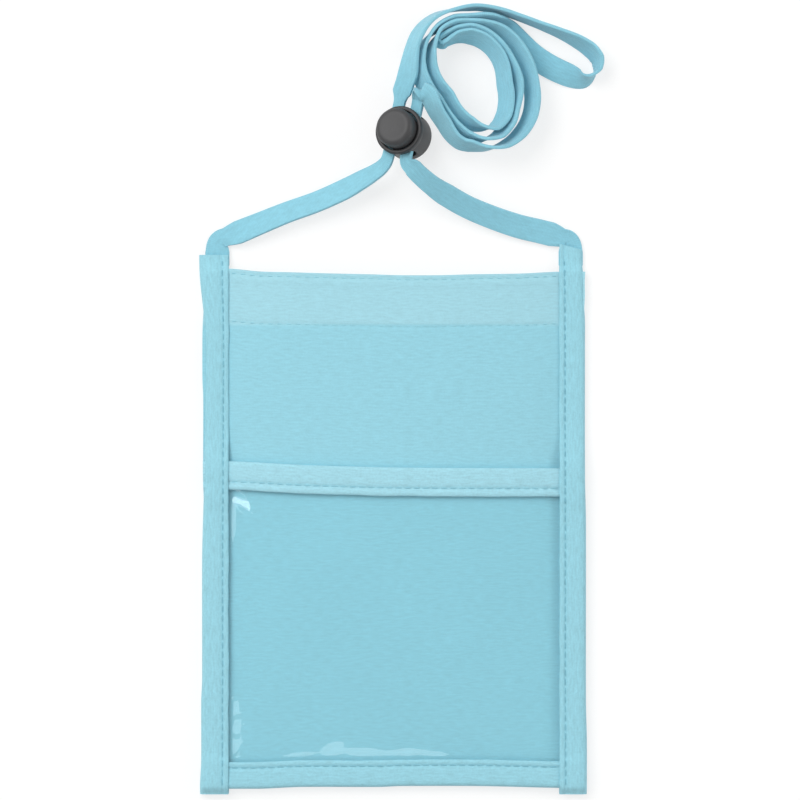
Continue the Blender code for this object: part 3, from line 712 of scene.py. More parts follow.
def webbing_section(place, tangent, width, size):
    """Twenty points round the webbing: one face from edge to edge, then the other back."""
    width = unit(width - width.dot(tangent) * tangent)
    thick = tangent.cross(width)
    half, depth = size[0] / 2, size[1] / 2
    gathered = min(max(0, 1 - size[0] / GATHER_BELOW) * GATHER_RATE, 1)
    face = []
    for a, b in HALF_FACE + [(-a, b) for a, b in reversed(HALF_FACE)]:
        pleat = gathered * min(PLEAT_HEIGHT, PLEAT_REACH - depth) * math.cos(a * PLEAT_TURNS)
        face.append((a * half, b * depth, pleat))
    outline = [place + a * width + (b + pleat) * thick for a, b, pleat in face]
    outline += [place + a * width + (pleat - b) * thick for a, b, pleat in reversed(face)]
    return outline


def strap_piece(number):
    """One piece of the strap, and the middle line that it follows. It meets the next piece ring to ring."""
    first = piece_starts[number]
    last = min(piece_starts[number + 1], len(line) - 1)
    rings, path = [], []
    for i in range(first, last + 1):
        place, width, size = line[i]
        tangent = unit(line[min(i + 1, len(line) - 1)][0] - line[max(i - 1, 0)][0])
        rings.append(webbing_section(place, tangent, width, size))
        path.append(place)
    return swept(RUNS[number][0], rings), path


STANDS_FOR = [
    ("strap_tab_left", "strap_left"),
    ("strap_end_loop",),
    ("strap_coil",),
    ("strap_coil",),
    ("strap_right", "strap_tab_right"),
]


def make_strap():
    """All pieces of the strap. Those with a sewn end have no body and keep their place in their mesh, and the
    rest ride on the strap's body.
    """
    for number, nodes in enumerate(STANDS_FOR):
        piece, path = strap_piece(number)
        sewn = "tab" in " ".join(nodes)
        finish_piece(piece, webbing, "strap_webbing", None if sewn else "strap", *nodes)
        if sewn:
            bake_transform(piece)


make_strap()

# %% [markdown]
# ## The pouch's outline
# The picture shows that the bound edges aren't quite straight: the tapes wander by up to a millimetre.
# Every layer near an edge follows the same drift, so the layers stay inside each other.

# %% Measured edges and how layers follow them
POUCH_EDGE = 0.0635
TAPE_INNER = 0.0547
MOUTH_Y = 0.0821
FOOT_Y = -0.0874
WINDOW_TOP_Y = 0.0188
PANEL_EDGE = 0.0625
PANEL_FOOT_Y = -0.0858

LEFT_EDGE = [
    (-0.087, 0.0642), (-0.079, 0.0638), (-0.059, 0.0638), (-0.052, 0.0635), (-0.012, 0.0635),
    (0.001, 0.0632), (0.014, 0.0628), (0.041, 0.0628), (0.047, 0.0625), (0.060, 0.0625),
    (0.067, 0.0628), (0.0737, 0.0635), (0.0803, 0.0642), (0.0869, 0.0645),
]
RIGHT_EDGE = [
    (-0.085, 0.0638), (-0.072, 0.0638), (-0.059, 0.0635), (0.001, 0.0635), (0.014, 0.0632),
    (0.060, 0.0632), (0.067, 0.0632), (0.074, 0.0628), (0.080, 0.0628), (0.0869, 0.0622),
]
MOUTH_EDGE = [
    (-0.0542, 0.0839), (-0.0443, 0.0829), (-0.0344, 0.0826), (-0.0212, 0.0822), (-0.0079, 0.0819),
    (0.0020, 0.0816), (0.0152, 0.0816), (0.0251, 0.0819), (0.0417, 0.0822), (0.0549, 0.0829),
]
FOOT_EDGE = [
    (-0.0443, -0.0880), (-0.0311, -0.0874), (-0.0046, -0.0874), (0.0020, -0.0871), (0.0284, -0.0871),
    (0.0549, -0.0877),
]
WINDOW_EDGE = [(-0.0548, 0.0204), (-0.030, 0.0192), (0.0, 0.0184), (0.030, 0.0182), (0.0548, 0.0181)]


def edge_drift(x, y):
    """How far the pouch's edge on the side of x stands out there from a straight edge."""
    return table_value(LEFT_EDGE if x < 0 else RIGHT_EDGE, y) - POUCH_EDGE


def drifted(x, y):
    """Where a point of the pouch goes: it follows the bound edges, the mouth, the window and the foot."""
    out = max(0, (abs(x) - TAPE_INNER) / (POUCH_EDGE - TAPE_INNER))
    moved_x = x + math.copysign(edge_drift(x, y) * out, x)
    moved_y = y + (table_value(MOUTH_EDGE, x) - MOUTH_Y) * ramp(y, WINDOW_TOP_Y + 0.004, MOUTH_Y)
    near_window = ramp(y, -0.05, WINDOW_TOP_Y - 0.010)
    near_window -= ramp(y, WINDOW_TOP_Y + 0.001, WINDOW_TOP_Y + 0.03)
    moved_y += (table_value(WINDOW_EDGE, x) - WINDOW_TOP_Y) * near_window
    moved_y += (table_value(FOOT_EDGE, x) - FOOT_Y) * (1 - ramp(y, FOOT_Y + 0.002, FOOT_Y + 0.03))
    return moved_x, moved_y


FRONT_SWELL = 0.0052
SWELL_EDGE_X = 0.0544
SWELL_FOOT_Y = -0.0781


def lift(x, y):
    """How far the front, the film and the window tape stand up: swell, soft waves and small puckers."""
    inside = 1 - min(1, abs(x) / SWELL_EDGE_X) ** 3
    depth = min(1, max(0, (MOUTH_Y - y) / (MOUTH_Y - SWELL_FOOT_Y)))
    swell = FRONT_SWELL * inside * (1 - depth ** 3)
    free = min(1, inside * 2) * min(1, (1 - depth ** 3) * 3)
    waves = 0.00035 * wander(x, y, 38, 1) + 0.00012 * wander(x, y, 120, 2)
    beside_seam = max(0, SWELL_EDGE_X - abs(x))
    pucker = 0.00010 * math.exp(-beside_seam / 0.0035) * wander(x * 0.2, y, 330, 3)
    return swell + waves * free + pucker * min(1, beside_seam / 0.001)


print(f"mouth rises {lift(0, MOUTH_Y) * 1000:.1f} mm")

# %% [markdown]
# ## Panels and film
# The front panel's top edge is turned in and sewn, so its section is one long path with a fold at the
# mouth. The back panel is flat. The film lies over the lower front. Vinyl is stiffer than cloth: it stands
# off its seams in small facets and creases, and these catch the light in the picture.

# %% A folded path becomes a sheet with two faces
PANEL_THICKNESS = 0.0003
FILM_THICKNESS = 0.0002
TAPE_PITCH = 0.002
RAW_END = 0.45


def thickened(path, thickness):
    """Outline of a sheet from its middle path: one face forwards, the other back, thinner at the raw ends."""
    front, back = [], []
    for i, point in enumerate(path):
        run = unit(path[min(i + 1, len(path) - 1)] - path[max(i - 1, 0)])
        share = RAW_END if i in (0, len(path) - 1) else 1
        side = Vector((-run.y, run.x)) * thickness / 2 * share
        front.append(point + side)
        back.append(point - side)
    return front + back[::-1]


def across_pouch(pitch):
    """Places across the pouch, closer together in the tapes."""
    left = steps(-PANEL_EDGE, -TAPE_INNER, TAPE_PITCH)[:-1]
    right = steps(TAPE_INNER, PANEL_EDGE, TAPE_PITCH)[1:]
    return left + steps(-TAPE_INNER, TAPE_INNER, pitch) + right


def pouch_sheet(name, path, thickness, pitch, rise):
    """A sheet swept across the pouch from a path of (y, z), raised by a rule and drifted with the edges."""
    rings = []
    for x in across_pouch(pitch):
        ring = []
        for y, z in thickened(path, thickness):
            moved = drifted(x, y)
            ring.append(Vector((moved[0], moved[1], z + rise(x, y))))
        rings.append(ring)
    return swept(name, rings)


# %% Back and front panels
HEM_LINE_Y = 0.0652
HEM_EDGE_Y = 0.0656
HEM_FINE_Y = 0.060
TOP_LINE_Y = MOUTH_Y - 0.0013
RIM_Y = MOUTH_Y - 0.0030
SEAM_DEPTH = 0.00016
BACK_Z, HEM_Z, FRONT_Z = 0.00155, 0.00215, 0.00275


def dip(distance, width):
    return math.exp(-(distance / width) ** 2)


def front_rise(x, y):
    """The front panel's lift, with grooves along its two rows of hem stitches and a fuller rim."""
    grooves = SEAM_DEPTH * dip(y - TOP_LINE_Y, 0.0006) + SEAM_DEPTH * dip(y - HEM_LINE_Y, 0.0007)
    rim = 0.00012 * dip(y - RIM_Y, 0.0011) + 0.00006 * ramp(y, HEM_LINE_Y, HEM_LINE_Y + 0.001)
    near_seams = dip(y - TOP_LINE_Y, 0.003) + dip(y - HEM_LINE_Y, 0.004)
    seam_waves = 0.00006 * wander(x, y, 420, 5) * near_seams
    return lift(x, y) + (rim - grooves + seam_waves) * min(1, max(0, (TAPE_INNER - abs(x)) / 0.002))


def back_rise(x, y):
    return 0.00004 * wander(x, y, 60, 4)


def make_panels():
    """The flat back, and the front whose path turns round at the mouth and comes back as the hem."""
    back_path = [Vector((y, BACK_Z)) for y in steps(PANEL_FOOT_Y, MOUTH_Y, 0.0035)]
    back = pouch_sheet("back_cloth", back_path, PANEL_THICKNESS, 0.0035, back_rise)
    finish_piece(back, cloth, "panel_fabric", "pouch", "back_panel")
    radius = (FRONT_Z - HEM_Z) / 2
    fold = MOUTH_Y - radius
    front_places = steps(PANEL_FOOT_Y, HEM_FINE_Y, 0.0020)[:-1] + steps(HEM_FINE_Y, fold, 0.0004)
    path = [Vector((y, FRONT_Z)) for y in front_places]
    for degrees in (60, 30, 0, -30, -60):
        turn = math.radians(degrees)
        path.append(Vector((fold + radius * math.cos(turn), HEM_Z + radius + radius * math.sin(turn))))
    path += [Vector((y, HEM_Z)) for y in reversed(steps(HEM_EDGE_Y, fold, 0.0013))]
    front = pouch_sheet("front_cloth", path, PANEL_THICKNESS, 0.0011, front_rise)
    finish_piece(front, front_cloth_finish, "panel_fabric", "pouch", "front_panel")


make_panels()

# %% Film that stands off its seams in facets
FILM_Z = 0.0040
FILM_TOP_Y = 0.0181
FILM_PITCH = 0.0007
SLOPE_STEP = 0.0005
WINDOW_FOOT = -0.0784
WINDOW_HEAD = 0.0094
FACES_KEY = (0.235, -0.280)
FACES_LEFT = (0.360, -0.008)
FACES_LEFT_FOOT = (0.361, -0.062)
FACES_BELOW = (-0.008, 0.251)
FACES_BELOW_RIGHT = (0.014, 0.250)
FACES_BELOW_CORNER = (0.041, 0.251)
FACETS = [
    ((-0.0504, 0.0054), (0.0056, 0.0017), -39, FACES_KEY),
    ((-0.0531, -0.0016), (0.0016, 0.0072), 0, FACES_LEFT),
    ((-0.0524, -0.0640), (0.0030, 0.0074), 4, FACES_LEFT_FOOT),
    ((-0.0521, -0.0705), (0.0036, 0.0074), -6, FACES_LEFT_FOOT),
    ((-0.0320, -0.0767), (0.0084, 0.0022), 8, FACES_BELOW),
    ((-0.0200, -0.0748), (0.0060, 0.0040), 25, FACES_BELOW),
    ((-0.0095, -0.0759), (0.0096, 0.0032), -4, FACES_BELOW),
    ((0.0035, -0.0761), (0.0096, 0.0028), 3, FACES_BELOW_RIGHT),
    ((0.0125, -0.0765), (0.0074, 0.0022), -4, FACES_BELOW_RIGHT),
    ((0.0461, -0.0748), (0.0030, 0.0010), 4, FACES_BELOW_CORNER),
]
CREASES = [
    ((0.0162, 0.0052), (0.0258, 0.0078), 0.0008, 0.00038),
    ((0.0324, 0.0050), (0.0476, 0.0073), 0.0008, 0.00038),
    ((0.0202, -0.0024), (0.0317, -0.0222), 0.0009, 0.00034),
]


def crease_height(x, y, start, end, width, height):
    """A ridge along a line that fades towards both ends."""
    run = Vector(end) - Vector(start)
    offset = Vector((x, y)) - Vector(start)
    place = offset.dot(run) / run.length_squared
    if not -0.2 < place < 1.2:
        return 0
    side = offset.x * run.y - offset.y * run.x
    bow = 0.0012 * (place - 0.5) ** 2
    ends = ramp(place, -0.1, 0.3) * (1 - ramp(place, 0.7, 1.1))
    return height * dip(side / run.length - bow, width) * ends


def facet_height(x, y, centre, reach, turn, slope):
    """An oval patch where the film lies in one plane of a given slope: its share here, and its height."""
    dx, dy = x - centre[0], y - centre[1]
    turn = math.radians(turn)
    u = (dx * math.cos(turn) + dy * math.sin(turn)) / reach[0]
    v = (dy * math.cos(turn) - dx * math.sin(turn)) / reach[1]
    far = math.hypot(u, v)
    if far >= 1:
        return 0, 0
    step = SLOPE_STEP
    lean_x = (lift(centre[0] + step, centre[1]) - lift(centre[0] - step, centre[1])) / (2 * step)
    lean_y = (lift(centre[0], centre[1] + step) - lift(centre[0], centre[1] - step)) / (2 * step)
    share = 1 - ramp(far, 0.7, 1)
    return share, ((slope[0] - lean_x) * dx + (slope[1] - lean_y) * dy) * share


def film_rise(x, y):
    """The front's lift, with flat facets beside the seams and a few creases."""
    held = min(1, max(0, WINDOW_HEAD - y) / 0.004) * min(1, max(0, y - WINDOW_FOOT) / 0.0006)
    held *= min(1, max(0, SWELL_EDGE_X - abs(x)) / 0.0006)
    facets = [facet_height(x, y, *facet) for facet in FACETS]
    total = sum(height for _, height in facets) / max(1, sum(share for share, _ in facets))
    total += sum(crease_height(x, y, *crease) for crease in CREASES)
    total += 0.00009 * wander(x, y, 75, 8)
    return lift(x, y) + total * held


def make_film():
    """The film. Shadow rays and light that cloth has scattered pass as if it weren't there."""
    path = [Vector((y, FILM_Z)) for y in steps(PANEL_FOOT_Y, FILM_TOP_Y, FILM_PITCH)]
    piece = pouch_sheet("window_vinyl", path, FILM_THICKNESS, FILM_PITCH, film_rise)
    finish_piece(piece, film, "clear_film", "pouch", "window_film")
    piece.visible_shadow = False
    piece.visible_diffuse = False


make_film()

# %% [markdown]
# ## Tapes
# Each raw edge is held in a tape that is folded round it and sewn once through all layers. The front leaf
# has a raised rim at its free edge, a groove along the stitches and a soft roll over the fold. One path
# makes all four tapes: the side tapes run along the pouch, and the other two run across it.

# %% One tape section
TAPE = 0.0004
STITCH_PITCH = 0.0030
RIM_STEPS = (0, 0.00015, 0.0005, 0.0010, 0.0014)
SEAM_STEPS = (0.0005, 0.00025, 0, -0.00025, -0.0005, -0.0010)


def leaf_relief(distance, width, seam):
    """Height of a leaf over its flat level: rim at the free edge, groove at the seam and a soft crown."""
    rim = 0.00018 * dip(distance - (width - 0.0010), 0.0007) - 0.00016 * dip(distance - width, 0.0006)
    groove = -0.00030 * dip(distance - seam, 0.0006)
    crown = 0.00012 * math.sin(math.pi * min(1, distance / seam))
    return rim + groove + crown


def tape_path(width, height, seam, roll=0.0016):
    """Middle path of a folded tape, (distance from the fold, height): front leaf, fold and back leaf."""
    places = [width - d for d in RIM_STEPS] + [seam + d for d in SEAM_STEPS]
    places += steps(roll, seam - 0.0018, 0.0009)[::-1]
    top = height - TAPE / 2
    path = [Vector((d, top + leaf_relief(d, width, seam))) for d in places]
    middle = (top + TAPE / 2) / 2
    for degrees in range(105, 260, 15):
        turn = math.radians(degrees)
        distance = roll + (roll - TAPE / 2) * math.cos(turn)
        path.append(Vector((distance, middle + (top - middle) * math.sin(turn))))
    return path + [Vector((d, TAPE / 2)) for d in steps(roll, width, 0.0012)]


def pull_of_thread(run, x, y):
    """How deep a stitched leaf is drawn in: most where the thread goes down between two stitches."""
    between_stitches = 0.00010 * max(0, math.cos(math.tau * run / STITCH_PITCH)) ** 2
    return between_stitches + 0.00005 * wander(x, y, 300, 7)


# %% Side tapes
SIDE_WIDTH = 0.0088
SIDE_SEAM = SIDE_WIDTH - 0.0019
SIDE_HEIGHTS = [
    (-0.0895, 0.0034), (-0.0884, 0.0046), (-0.0872, 0.0055), (-0.0790, 0.0055), (-0.0760, 0.0050),
    (0.0040, 0.0050), (0.0085, 0.0055), (0.0185, 0.0055), (0.0225, 0.0048), (0.0275, 0.0039),
    (0.0330, 0.0036), (0.0820, 0.0036), (0.0832, 0.0034), (0.0855, 0.0023), (0.0905, 0.0022),
]
SIDE_ENDS = {-1: (-0.0898, 0.0886), 1: (-0.0898, 0.0903)}
SIDE_SLANT = 0.0020


def side_point(side, distance, y):
    """A place across a side tape in the pouch's plane."""
    return side * (POUCH_EDGE - distance + edge_drift(side, y) * max(0, 1 - distance / SIDE_WIDTH))


def side_tape(side, label):
    """A tape folded round one side of the pouch. The right one's front leaf is cut at a slant at its top."""
    low, high = SIDE_ENDS[side]
    rings = []
    for y in steps(low, high, 0.0005):
        height = table_value(SIDE_HEIGHTS, y) + 0.00006 * wander(side, y, 90, 6)
        ring = []
        for distance, z in thickened(tape_path(SIDE_WIDTH, height, SIDE_SEAM), TAPE):
            upper = ramp(z, height * 0.3, height * 0.7)
            sink = pull_of_thread(y, distance, y) * upper * dip(distance - SIDE_SEAM, 0.0009)
            wave = 0.00025 * wander(side * 3, y, 120, 9) * ramp(distance, SIDE_SEAM, SIDE_WIDTH) * upper
            cut = ramp(y, high - 0.004, high) if side > 0 else 0
            slant = SIDE_SLANT * upper * cut * (distance / SIDE_WIDTH)
            ring.append(Vector((side_point(side, distance + wave, y), y + slant, max(0, z - sink))))
        rings.append(ring)
    piece = swept(f"tape_{label}_cloth", rings)
    finish_piece(piece, binding, "binding_tape", "pouch", f"{label}_tape")


SIDES = ((-1, "left"), (1, "right"))
for side, label in SIDES:
    side_tape(side, label)

# %% Window tape and bottom tape
WINDOW_SIZE = (0.0094, 0.0016)
WINDOW_SEAM = WINDOW_SIZE[0] - 0.0027
BOTTOM_SIZE = (0.0089, 0.0041)
BOTTOM_SEAM = BOTTOM_SIZE[0] - 0.0019


def cross_tape(label, material, fold_y, direction, size, seam, bottom, rise):
    """A tape across the pouch, folded at fold_y, with its leaves pointing in a direction along Y."""
    width, height = size
    rings = []
    for x in steps(-PANEL_EDGE, PANEL_EDGE, 0.0006):
        inside = min(1, max(0, TAPE_INNER - abs(x)) / 0.001)
        ring = []
        for distance, z in thickened(tape_path(width, height, seam, roll=min(0.0012, height / 2)), TAPE):
            pull = pull_of_thread(x, x, distance) * (ramp(z, height * 0.3, height * 0.7) * inside)
            wave = 0.00018 * wander(x, 5, 110, 9) * ramp(distance, seam, width)
            y = fold_y + direction * (distance + wave)
            moved = drifted(x, y)
            level = bottom + z - pull * dip(distance - seam, 0.0009) + rise(x, y)
            ring.append(Vector((moved[0], moved[1], level)))
        rings.append(ring)
    piece = swept(f"tape_{label}_cloth", rings)
    finish_piece(piece, material, "binding_tape", "pouch", f"{label}_tape")


def level_rise(x, y):
    return 0.0


cross_tape("window", window_binding, WINDOW_TOP_Y, -1, WINDOW_SIZE, WINDOW_SEAM, 0.0032, lift)
cross_tape("bottom", binding, FOOT_Y, 1, BOTTOM_SIZE, BOTTOM_SEAM, 0.0007, level_rise)

# %% [markdown]
# ## Stitches
# A lockstitch shows as short threads that dive into the cloth between stitches. One stitch is modelled as a
# thin tube that swells in its middle and dips at its ends. It is then copied along every seam, each row
# joined into one piece that rides on the pouch.

# %% A solid drawn out ring by ring, and one stitch
STITCH_LENGTH = 0.0022
STITCH_DIP = 0.00022
THREAD_RADIUS = 0.00016
STITCH_RINGS = [(0.45, -0.5), (0.9, -0.42), (1.0, -0.25), (1.05, 0.0), (1.0, 0.25), (0.9, 0.42), (0.45, 0.5)]


def draw_out(name, rings, corners, axis="Z"):
    """A closed solid: a circle extruded and resized from one (radius, place on the axis) to the next."""
    def along(place, across=0):
        return (place, across, across) if axis == "X" else (across, across, place)

    radius, place = rings[0]
    turn = (0, math.pi / 2, 0) if axis == "X" else (0, 0, 0)
    bpy.ops.mesh.primitive_circle_add(vertices=corners, radius=radius, fill_type="NGON",
                                      location=along(place), rotation=turn)
    item = bpy.context.object
    item.name = item.data.name = name
    bpy.ops.object.transform_apply()
    bpy.ops.object.mode_set(mode="EDIT")
    bpy.ops.mesh.select_all(action="SELECT")
    for (r0, p0), (r1, p1) in zip(rings, rings[1:]):
        bpy.ops.mesh.extrude_region_move(TRANSFORM_OT_translate={"value": along(p1 - p0)})
        bpy.ops.transform.resize(value=along(1, r1 / r0), center_override=along(p1))
    bpy.ops.mesh.select_all(action="SELECT")
    bpy.ops.mesh.normals_make_consistent(inside=False)
    bpy.ops.object.mode_set(mode="OBJECT")
    return item


def model_stitch():
    """A short thread along X, thinner and lower at its ends."""
    rings = [(THREAD_RADIUS * width, STITCH_LENGTH * share) for width, share in STITCH_RINGS]
    item = draw_out("stitch", rings, 8, axis="X")
    for vertex in item.data.vertices:
        vertex.co.z -= STITCH_DIP * (2 * vertex.co.x / STITCH_LENGTH) ** 4
    item.data.shade_smooth()
    return item


stitch = model_stitch()
print(f"stitch: {len(stitch.data.polygons)} faces")


# %% Rows of stitches
SINK = 0.00012
UNDER_LEVEL = 0.00012
TAPE_THREAD_LEVEL = 0.0048
PANEL_THREAD_LEVEL = FRONT_Z + PANEL_THICKNESS / 2 + 0.00010
UPWARDS = math.pi / 2


def sew(name, places, turn=0.0, material=thread, slot="binding_tape", below=False):
    """Copies of the stitch at places, turned in the pouch's plane and joined into one row."""
    flip = Matrix.Rotation(math.pi, 4, "X") if below else Matrix.Identity(4)
    bpy.ops.object.select_all(action="DESELECT")
    for number, place in enumerate(places):
        copy = stitch.copy()
        copy.data = stitch.data.copy()
        bpy.context.scene.collection.objects.link(copy)
        angle = turn + 0.05 * wander(number, 0, 1.7, 11)
        copy.data.transform(Matrix.Translation(place) @ Matrix.Rotation(angle, 4, "Z") @ flip)
        copy.select_set(True)
        if number == 0:
            bpy.context.view_layer.objects.active = copy
    bpy.ops.object.join()
    row = bpy.context.object
    row.name = row.data.name = name
    finish_piece(row, material, slot, "pouch")
    print(f"{len(places)} stitches")


def stitch_runs(low, high):
    """Middles of the stitches between two places: each dimple lies at a whole number of pitches."""
    first = math.ceil(low / STITCH_PITCH)
    last = math.floor(high / STITCH_PITCH)
    return [(k + 0.5) * STITCH_PITCH for k in range(first, last)]


def across_row(name, y, level, rise, **finish):
    """A row of stitches across the front."""
    places = []
    for x in stitch_runs(-0.0545, 0.0545):
        moved = drifted(x, y)
        places.append((moved[0], moved[1], level + rise(x, y) - SINK))
    sew(name, places, **finish)


side_runs = stitch_runs(-0.0885, 0.0880)
for side, label in SIDES:
    seam = [(side_point(side, SIDE_SEAM, y), y) for y in side_runs]
    sew(f"stitches_{label}", [(x, y, table_value(SIDE_HEIGHTS, y) - SINK) for x, y in seam], UPWARDS)
    sew(f"stitches_{label}_back", [(x, y, UNDER_LEVEL) for x, y in seam], UPWARDS, below=True)
across_row("stitches_bottom", FOOT_Y + BOTTOM_SEAM, TAPE_THREAD_LEVEL, level_rise)
across_row("stitches_window", WINDOW_TOP_Y - WINDOW_SEAM, TAPE_THREAD_LEVEL, lift, material=pale_thread)
for name, y in (("stitches_hem", HEM_LINE_Y), ("stitches_mouth", TOP_LINE_Y)):
    across_row(name, y, PANEL_THREAD_LEVEL, front_rise, material=pale_thread, slot="panel_fabric")
bpy.data.objects.remove(stitch, do_unlink=True)

# %% [markdown]
# ## The cord lock
# A cord lock is a cup with two holes across it and a spring button with two matching holes. Both are
# moulded plastic. Each is drawn up ring by ring from a circle, cut by two rounded bars and then given small
# bevels.

# %% Sizes of the lock
BARREL_RADIUS = 0.0081
BODY_RADIUS = 0.0078
BARREL_LENGTH = 0.0118
WALL = 0.00135
FLOOR = 0.0012
BUTTON_TOP = BARREL_LENGTH + 0.0048
HOLE_BASE = 0.0042
HOLE_SIZE = (0.0042, 0.0210, 0.0048)
HOLE_ROUNDING = 0.0014
TRAVEL = 0.0024
CENTRE = 0.0006
BEVEL_WIDTH = 0.00022
BEVEL_ANGLE = math.radians(32)
SMOOTH_ANGLE = math.radians(40)
ROUND = 96


def corner(radius, height, rounding, first, last, count=5):
    """Points round a rounded corner, from an angle to another in degrees about its centre."""
    turns = [math.radians(first + (last - first) * i / (count - 1)) for i in range(count)]
    return [(radius + rounding * math.cos(a), height + rounding * math.sin(a)) for a in turns]


def cut_holes(item, base):
    """Two rounded holes across the piece, where the strap's strands pass."""
    for side in (-1, 1):
        middle = (side * HOLE_SPACING / 2, 0, base + HOLE_SIZE[2] / 2)
        bpy.ops.mesh.primitive_cube_add(size=1, location=middle)
        bar = bpy.context.object
        bar.scale = HOLE_SIZE
        bpy.ops.object.transform_apply()
        bpy.ops.object.mode_set(mode="EDIT")
        bpy.ops.mesh.select_all(action="DESELECT")
        bpy.ops.object.mode_set(mode="OBJECT")
        for edge in bar.data.edges:
            a, b = (bar.data.vertices[i].co for i in edge.vertices)
            edge.select = abs(a.y - b.y) > 0.01
        bpy.ops.object.mode_set(mode="EDIT")
        bpy.ops.mesh.bevel(offset=HOLE_ROUNDING, segments=6, affect="EDGES")
        bpy.ops.object.mode_set(mode="OBJECT")
        knife = item.modifiers.new("Hole", "BOOLEAN")
        knife.operation = "DIFFERENCE"
        knife.solver = "EXACT"
        knife.object = bar
        bpy.context.view_layer.objects.active = item
        bpy.ops.object.modifier_apply(modifier=knife.name)
        bpy.data.objects.remove(bar, do_unlink=True)


def smooth_and_place(item):
    """Small bevels on the sharp edges, smooth shading, and the piece's place in its mesh."""
    bevel = item.modifiers.new("Edges", "BEVEL")
    bevel.width = BEVEL_WIDTH
    bevel.segments = 2
    bevel.limit_method = "ANGLE"
    bevel.angle_limit = BEVEL_ANGLE
    bevel.harden_normals = False
    bpy.ops.object.select_all(action="DESELECT")
    bpy.context.view_layer.objects.active = item
    item.select_set(True)
    bpy.ops.object.modifier_apply(modifier=bevel.name)
    bpy.ops.object.shade_smooth_by_angle(angle=SMOOTH_ANGLE)
    item.data.transform(lock_place)


# %% Barrel
FOOT_ROUNDING = 0.0016
RIM_ROUNDING = 0.0005
LIP_ROUNDING = 0.0003
BAND_FOOT = 0.0100

bore = BARREL_RADIUS - WALL
barrel_profile = [(CENTRE, 0.0)] + corner(BODY_RADIUS - FOOT_ROUNDING, FOOT_ROUNDING, FOOT_ROUNDING, -90, 0)
barrel_profile += [(BODY_RADIUS, 0.0088), (BODY_RADIUS, 0.0093)]
barrel_profile += corner(BARREL_RADIUS - RIM_ROUNDING, BAND_FOOT, RIM_ROUNDING, -40, 0, 3)
barrel_profile += corner(BARREL_RADIUS - RIM_ROUNDING, BARREL_LENGTH - RIM_ROUNDING, RIM_ROUNDING, 0, 90, 4)
barrel_profile += corner(bore + LIP_ROUNDING, BARREL_LENGTH - LIP_ROUNDING, LIP_ROUNDING, 90, 180, 3)
barrel_profile += [(bore, FLOOR), (CENTRE, FLOOR)]
barrel = draw_out("lock_barrel_shell", barrel_profile, ROUND)
cut_holes(barrel, HOLE_BASE)
smooth_and_place(barrel)
finish_piece(barrel, barrel_plastic, "lock_plastic", "lock", "lock_barrel")

# %% Button
CROWN = 0.0019
CORE_RADIUS = 0.0036

button_radius = bore - 0.0003
foot = HOLE_BASE + TRAVEL - 0.0013
button_profile = [(CENTRE, foot + 0.0006), (CORE_RADIUS, foot + 0.0006)]
button_profile += [(CORE_RADIUS, foot), (button_radius, foot)]
button_profile += corner(button_radius - CROWN, BUTTON_TOP - CROWN, CROWN, 0, 80, 9)
button_profile += [(button_radius - 0.0022, BUTTON_TOP), (button_radius - 0.0030, BUTTON_TOP - 0.0001)]
button_profile += [(0.0020, BUTTON_TOP - 0.00016), (CENTRE, BUTTON_TOP - 0.00018)]
button = draw_out("lock_button", button_profile, ROUND)
cut_holes(button, HOLE_BASE + TRAVEL)
smooth_and_place(button)
finish_piece(button, button_plastic, "lock_plastic", "plunger", "lock_plunger")

# %% Spring: a copy of the imported coil
def squeezed_spring():
    """The coil spring, copied from the imported one. Its loose triangles are merged."""
    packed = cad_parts["lock_spring"]
    spring = bpy.data.objects.new("lock_spring_wire", packed.data.copy())
    bpy.context.scene.collection.objects.link(spring)
    mesh = bmesh.new()
    mesh.from_mesh(spring.data)
    bmesh.ops.remove_doubles(mesh, verts=mesh.verts, dist=0.000001)
    mesh.to_mesh(spring.data)
    mesh.free()
    spring.data.set_sharp_from_angle(angle=math.radians(60))
    finish_piece(spring, steel, "spring_steel", "lock", "lock_spring")
    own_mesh(spring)


squeezed_spring()

# %% [markdown]
# ## Floor and light
# The wallet lies on a plain white sheet under large soft lamps from the upper left, with an even white room
# round it. The floor shows itself almost white to the camera and keeps the contact shadow. Narrow lamps
# high above the edges of the view put small bright marks on the film's facets, as studio strips do.

# %% Floor
FLOOR_COLOUR = (0.86, 0.86, 0.86, 1)
WHITE = (1, 1, 1, 1)
FLOOR_GLOW = 1.12
GLOW_SHARE = 0.62


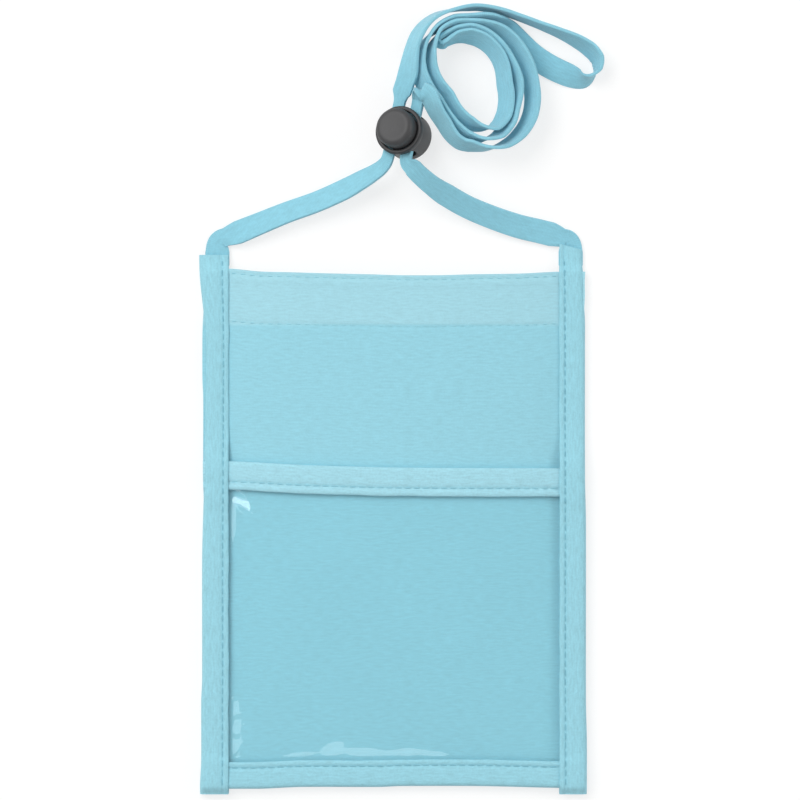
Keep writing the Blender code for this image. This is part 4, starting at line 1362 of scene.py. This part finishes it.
def white_floor():
    """Pale matt floor: mostly plain white to the camera, partly lit, so that the shadow stays."""
    material = bpy.data.materials.new("floor white")
    material.use_nodes = True
    tree = material.node_tree
    tree.nodes.remove(tree.nodes["Principled BSDF"])
    path = add_node(tree, "ShaderNodeLightPath").outputs
    seen = maths(tree, "MAXIMUM", path["Is Glossy Ray"], path["Is Transmission Ray"])
    seen = maths(tree, "MAXIMUM", path["Is Camera Ray"], seen)
    lit = add_node(tree, "ShaderNodeBsdfDiffuse", {"Color": FLOOR_COLOUR}).outputs[0]
    plain = add_node(tree, "ShaderNodeEmission", {"Color": WHITE, "Strength": FLOOR_GLOW}).outputs[0]
    mix = add_node(tree, "ShaderNodeMixShader", {0: times(tree, seen, GLOW_SHARE), 1: lit, 2: plain})
    tree.links.new(mix.outputs[0], tree.nodes["Material Output"].inputs[0])
    return material


bpy.ops.mesh.primitive_plane_add(size=6, location=(0, 0, -0.00005))
floor = bpy.context.object
floor.name = "floor"
floor.data.materials.append(white_floor())

# %% Room and lamps
ROOM_GLOW = 0.48
ROOM_GLOW_SEEN = 0.52
AIM = Vector((0, 0.02, 0))
LAMPS = (
    ("key_lamp", (-1.05, 1.05, 1.70), (1.5, 1.5), 30.0),
    ("fill_lamp", (1.70, 0.40, 0.90), (0.8, 0.8), 8.0),
    ("strip_below", (-0.02, -0.84, 1.20), (0.60, 0.36), 0.95),
    ("strip_left", (-0.94, -0.02, 1.00), (0.34, 0.60), 0.85),
)

world = bpy.data.worlds.new("white room")
bpy.context.scene.world = world
world.use_nodes = True
room = world.node_tree
to_camera = add_node(room, "ShaderNodeLightPath").outputs["Is Camera Ray"]
background = room.nodes["Background"].inputs
background["Color"].default_value = WHITE
room.links.new(plus(room, times(room, to_camera, ROOM_GLOW_SEEN), ROOM_GLOW), background["Strength"])

for name, place, size, watts in LAMPS:
    bpy.ops.object.light_add(type="AREA", location=place)
    lamp = bpy.context.object
    lamp.name = name
    lamp.data.shape = "RECTANGLE"
    lamp.data.size, lamp.data.size_y = size
    lamp.data.energy = watts
    lamp.rotation_euler = (AIM - Vector(place)).to_track_quat("-Z", "Y").to_euler()
print("lamps:", ", ".join(row[0] for row in LAMPS))
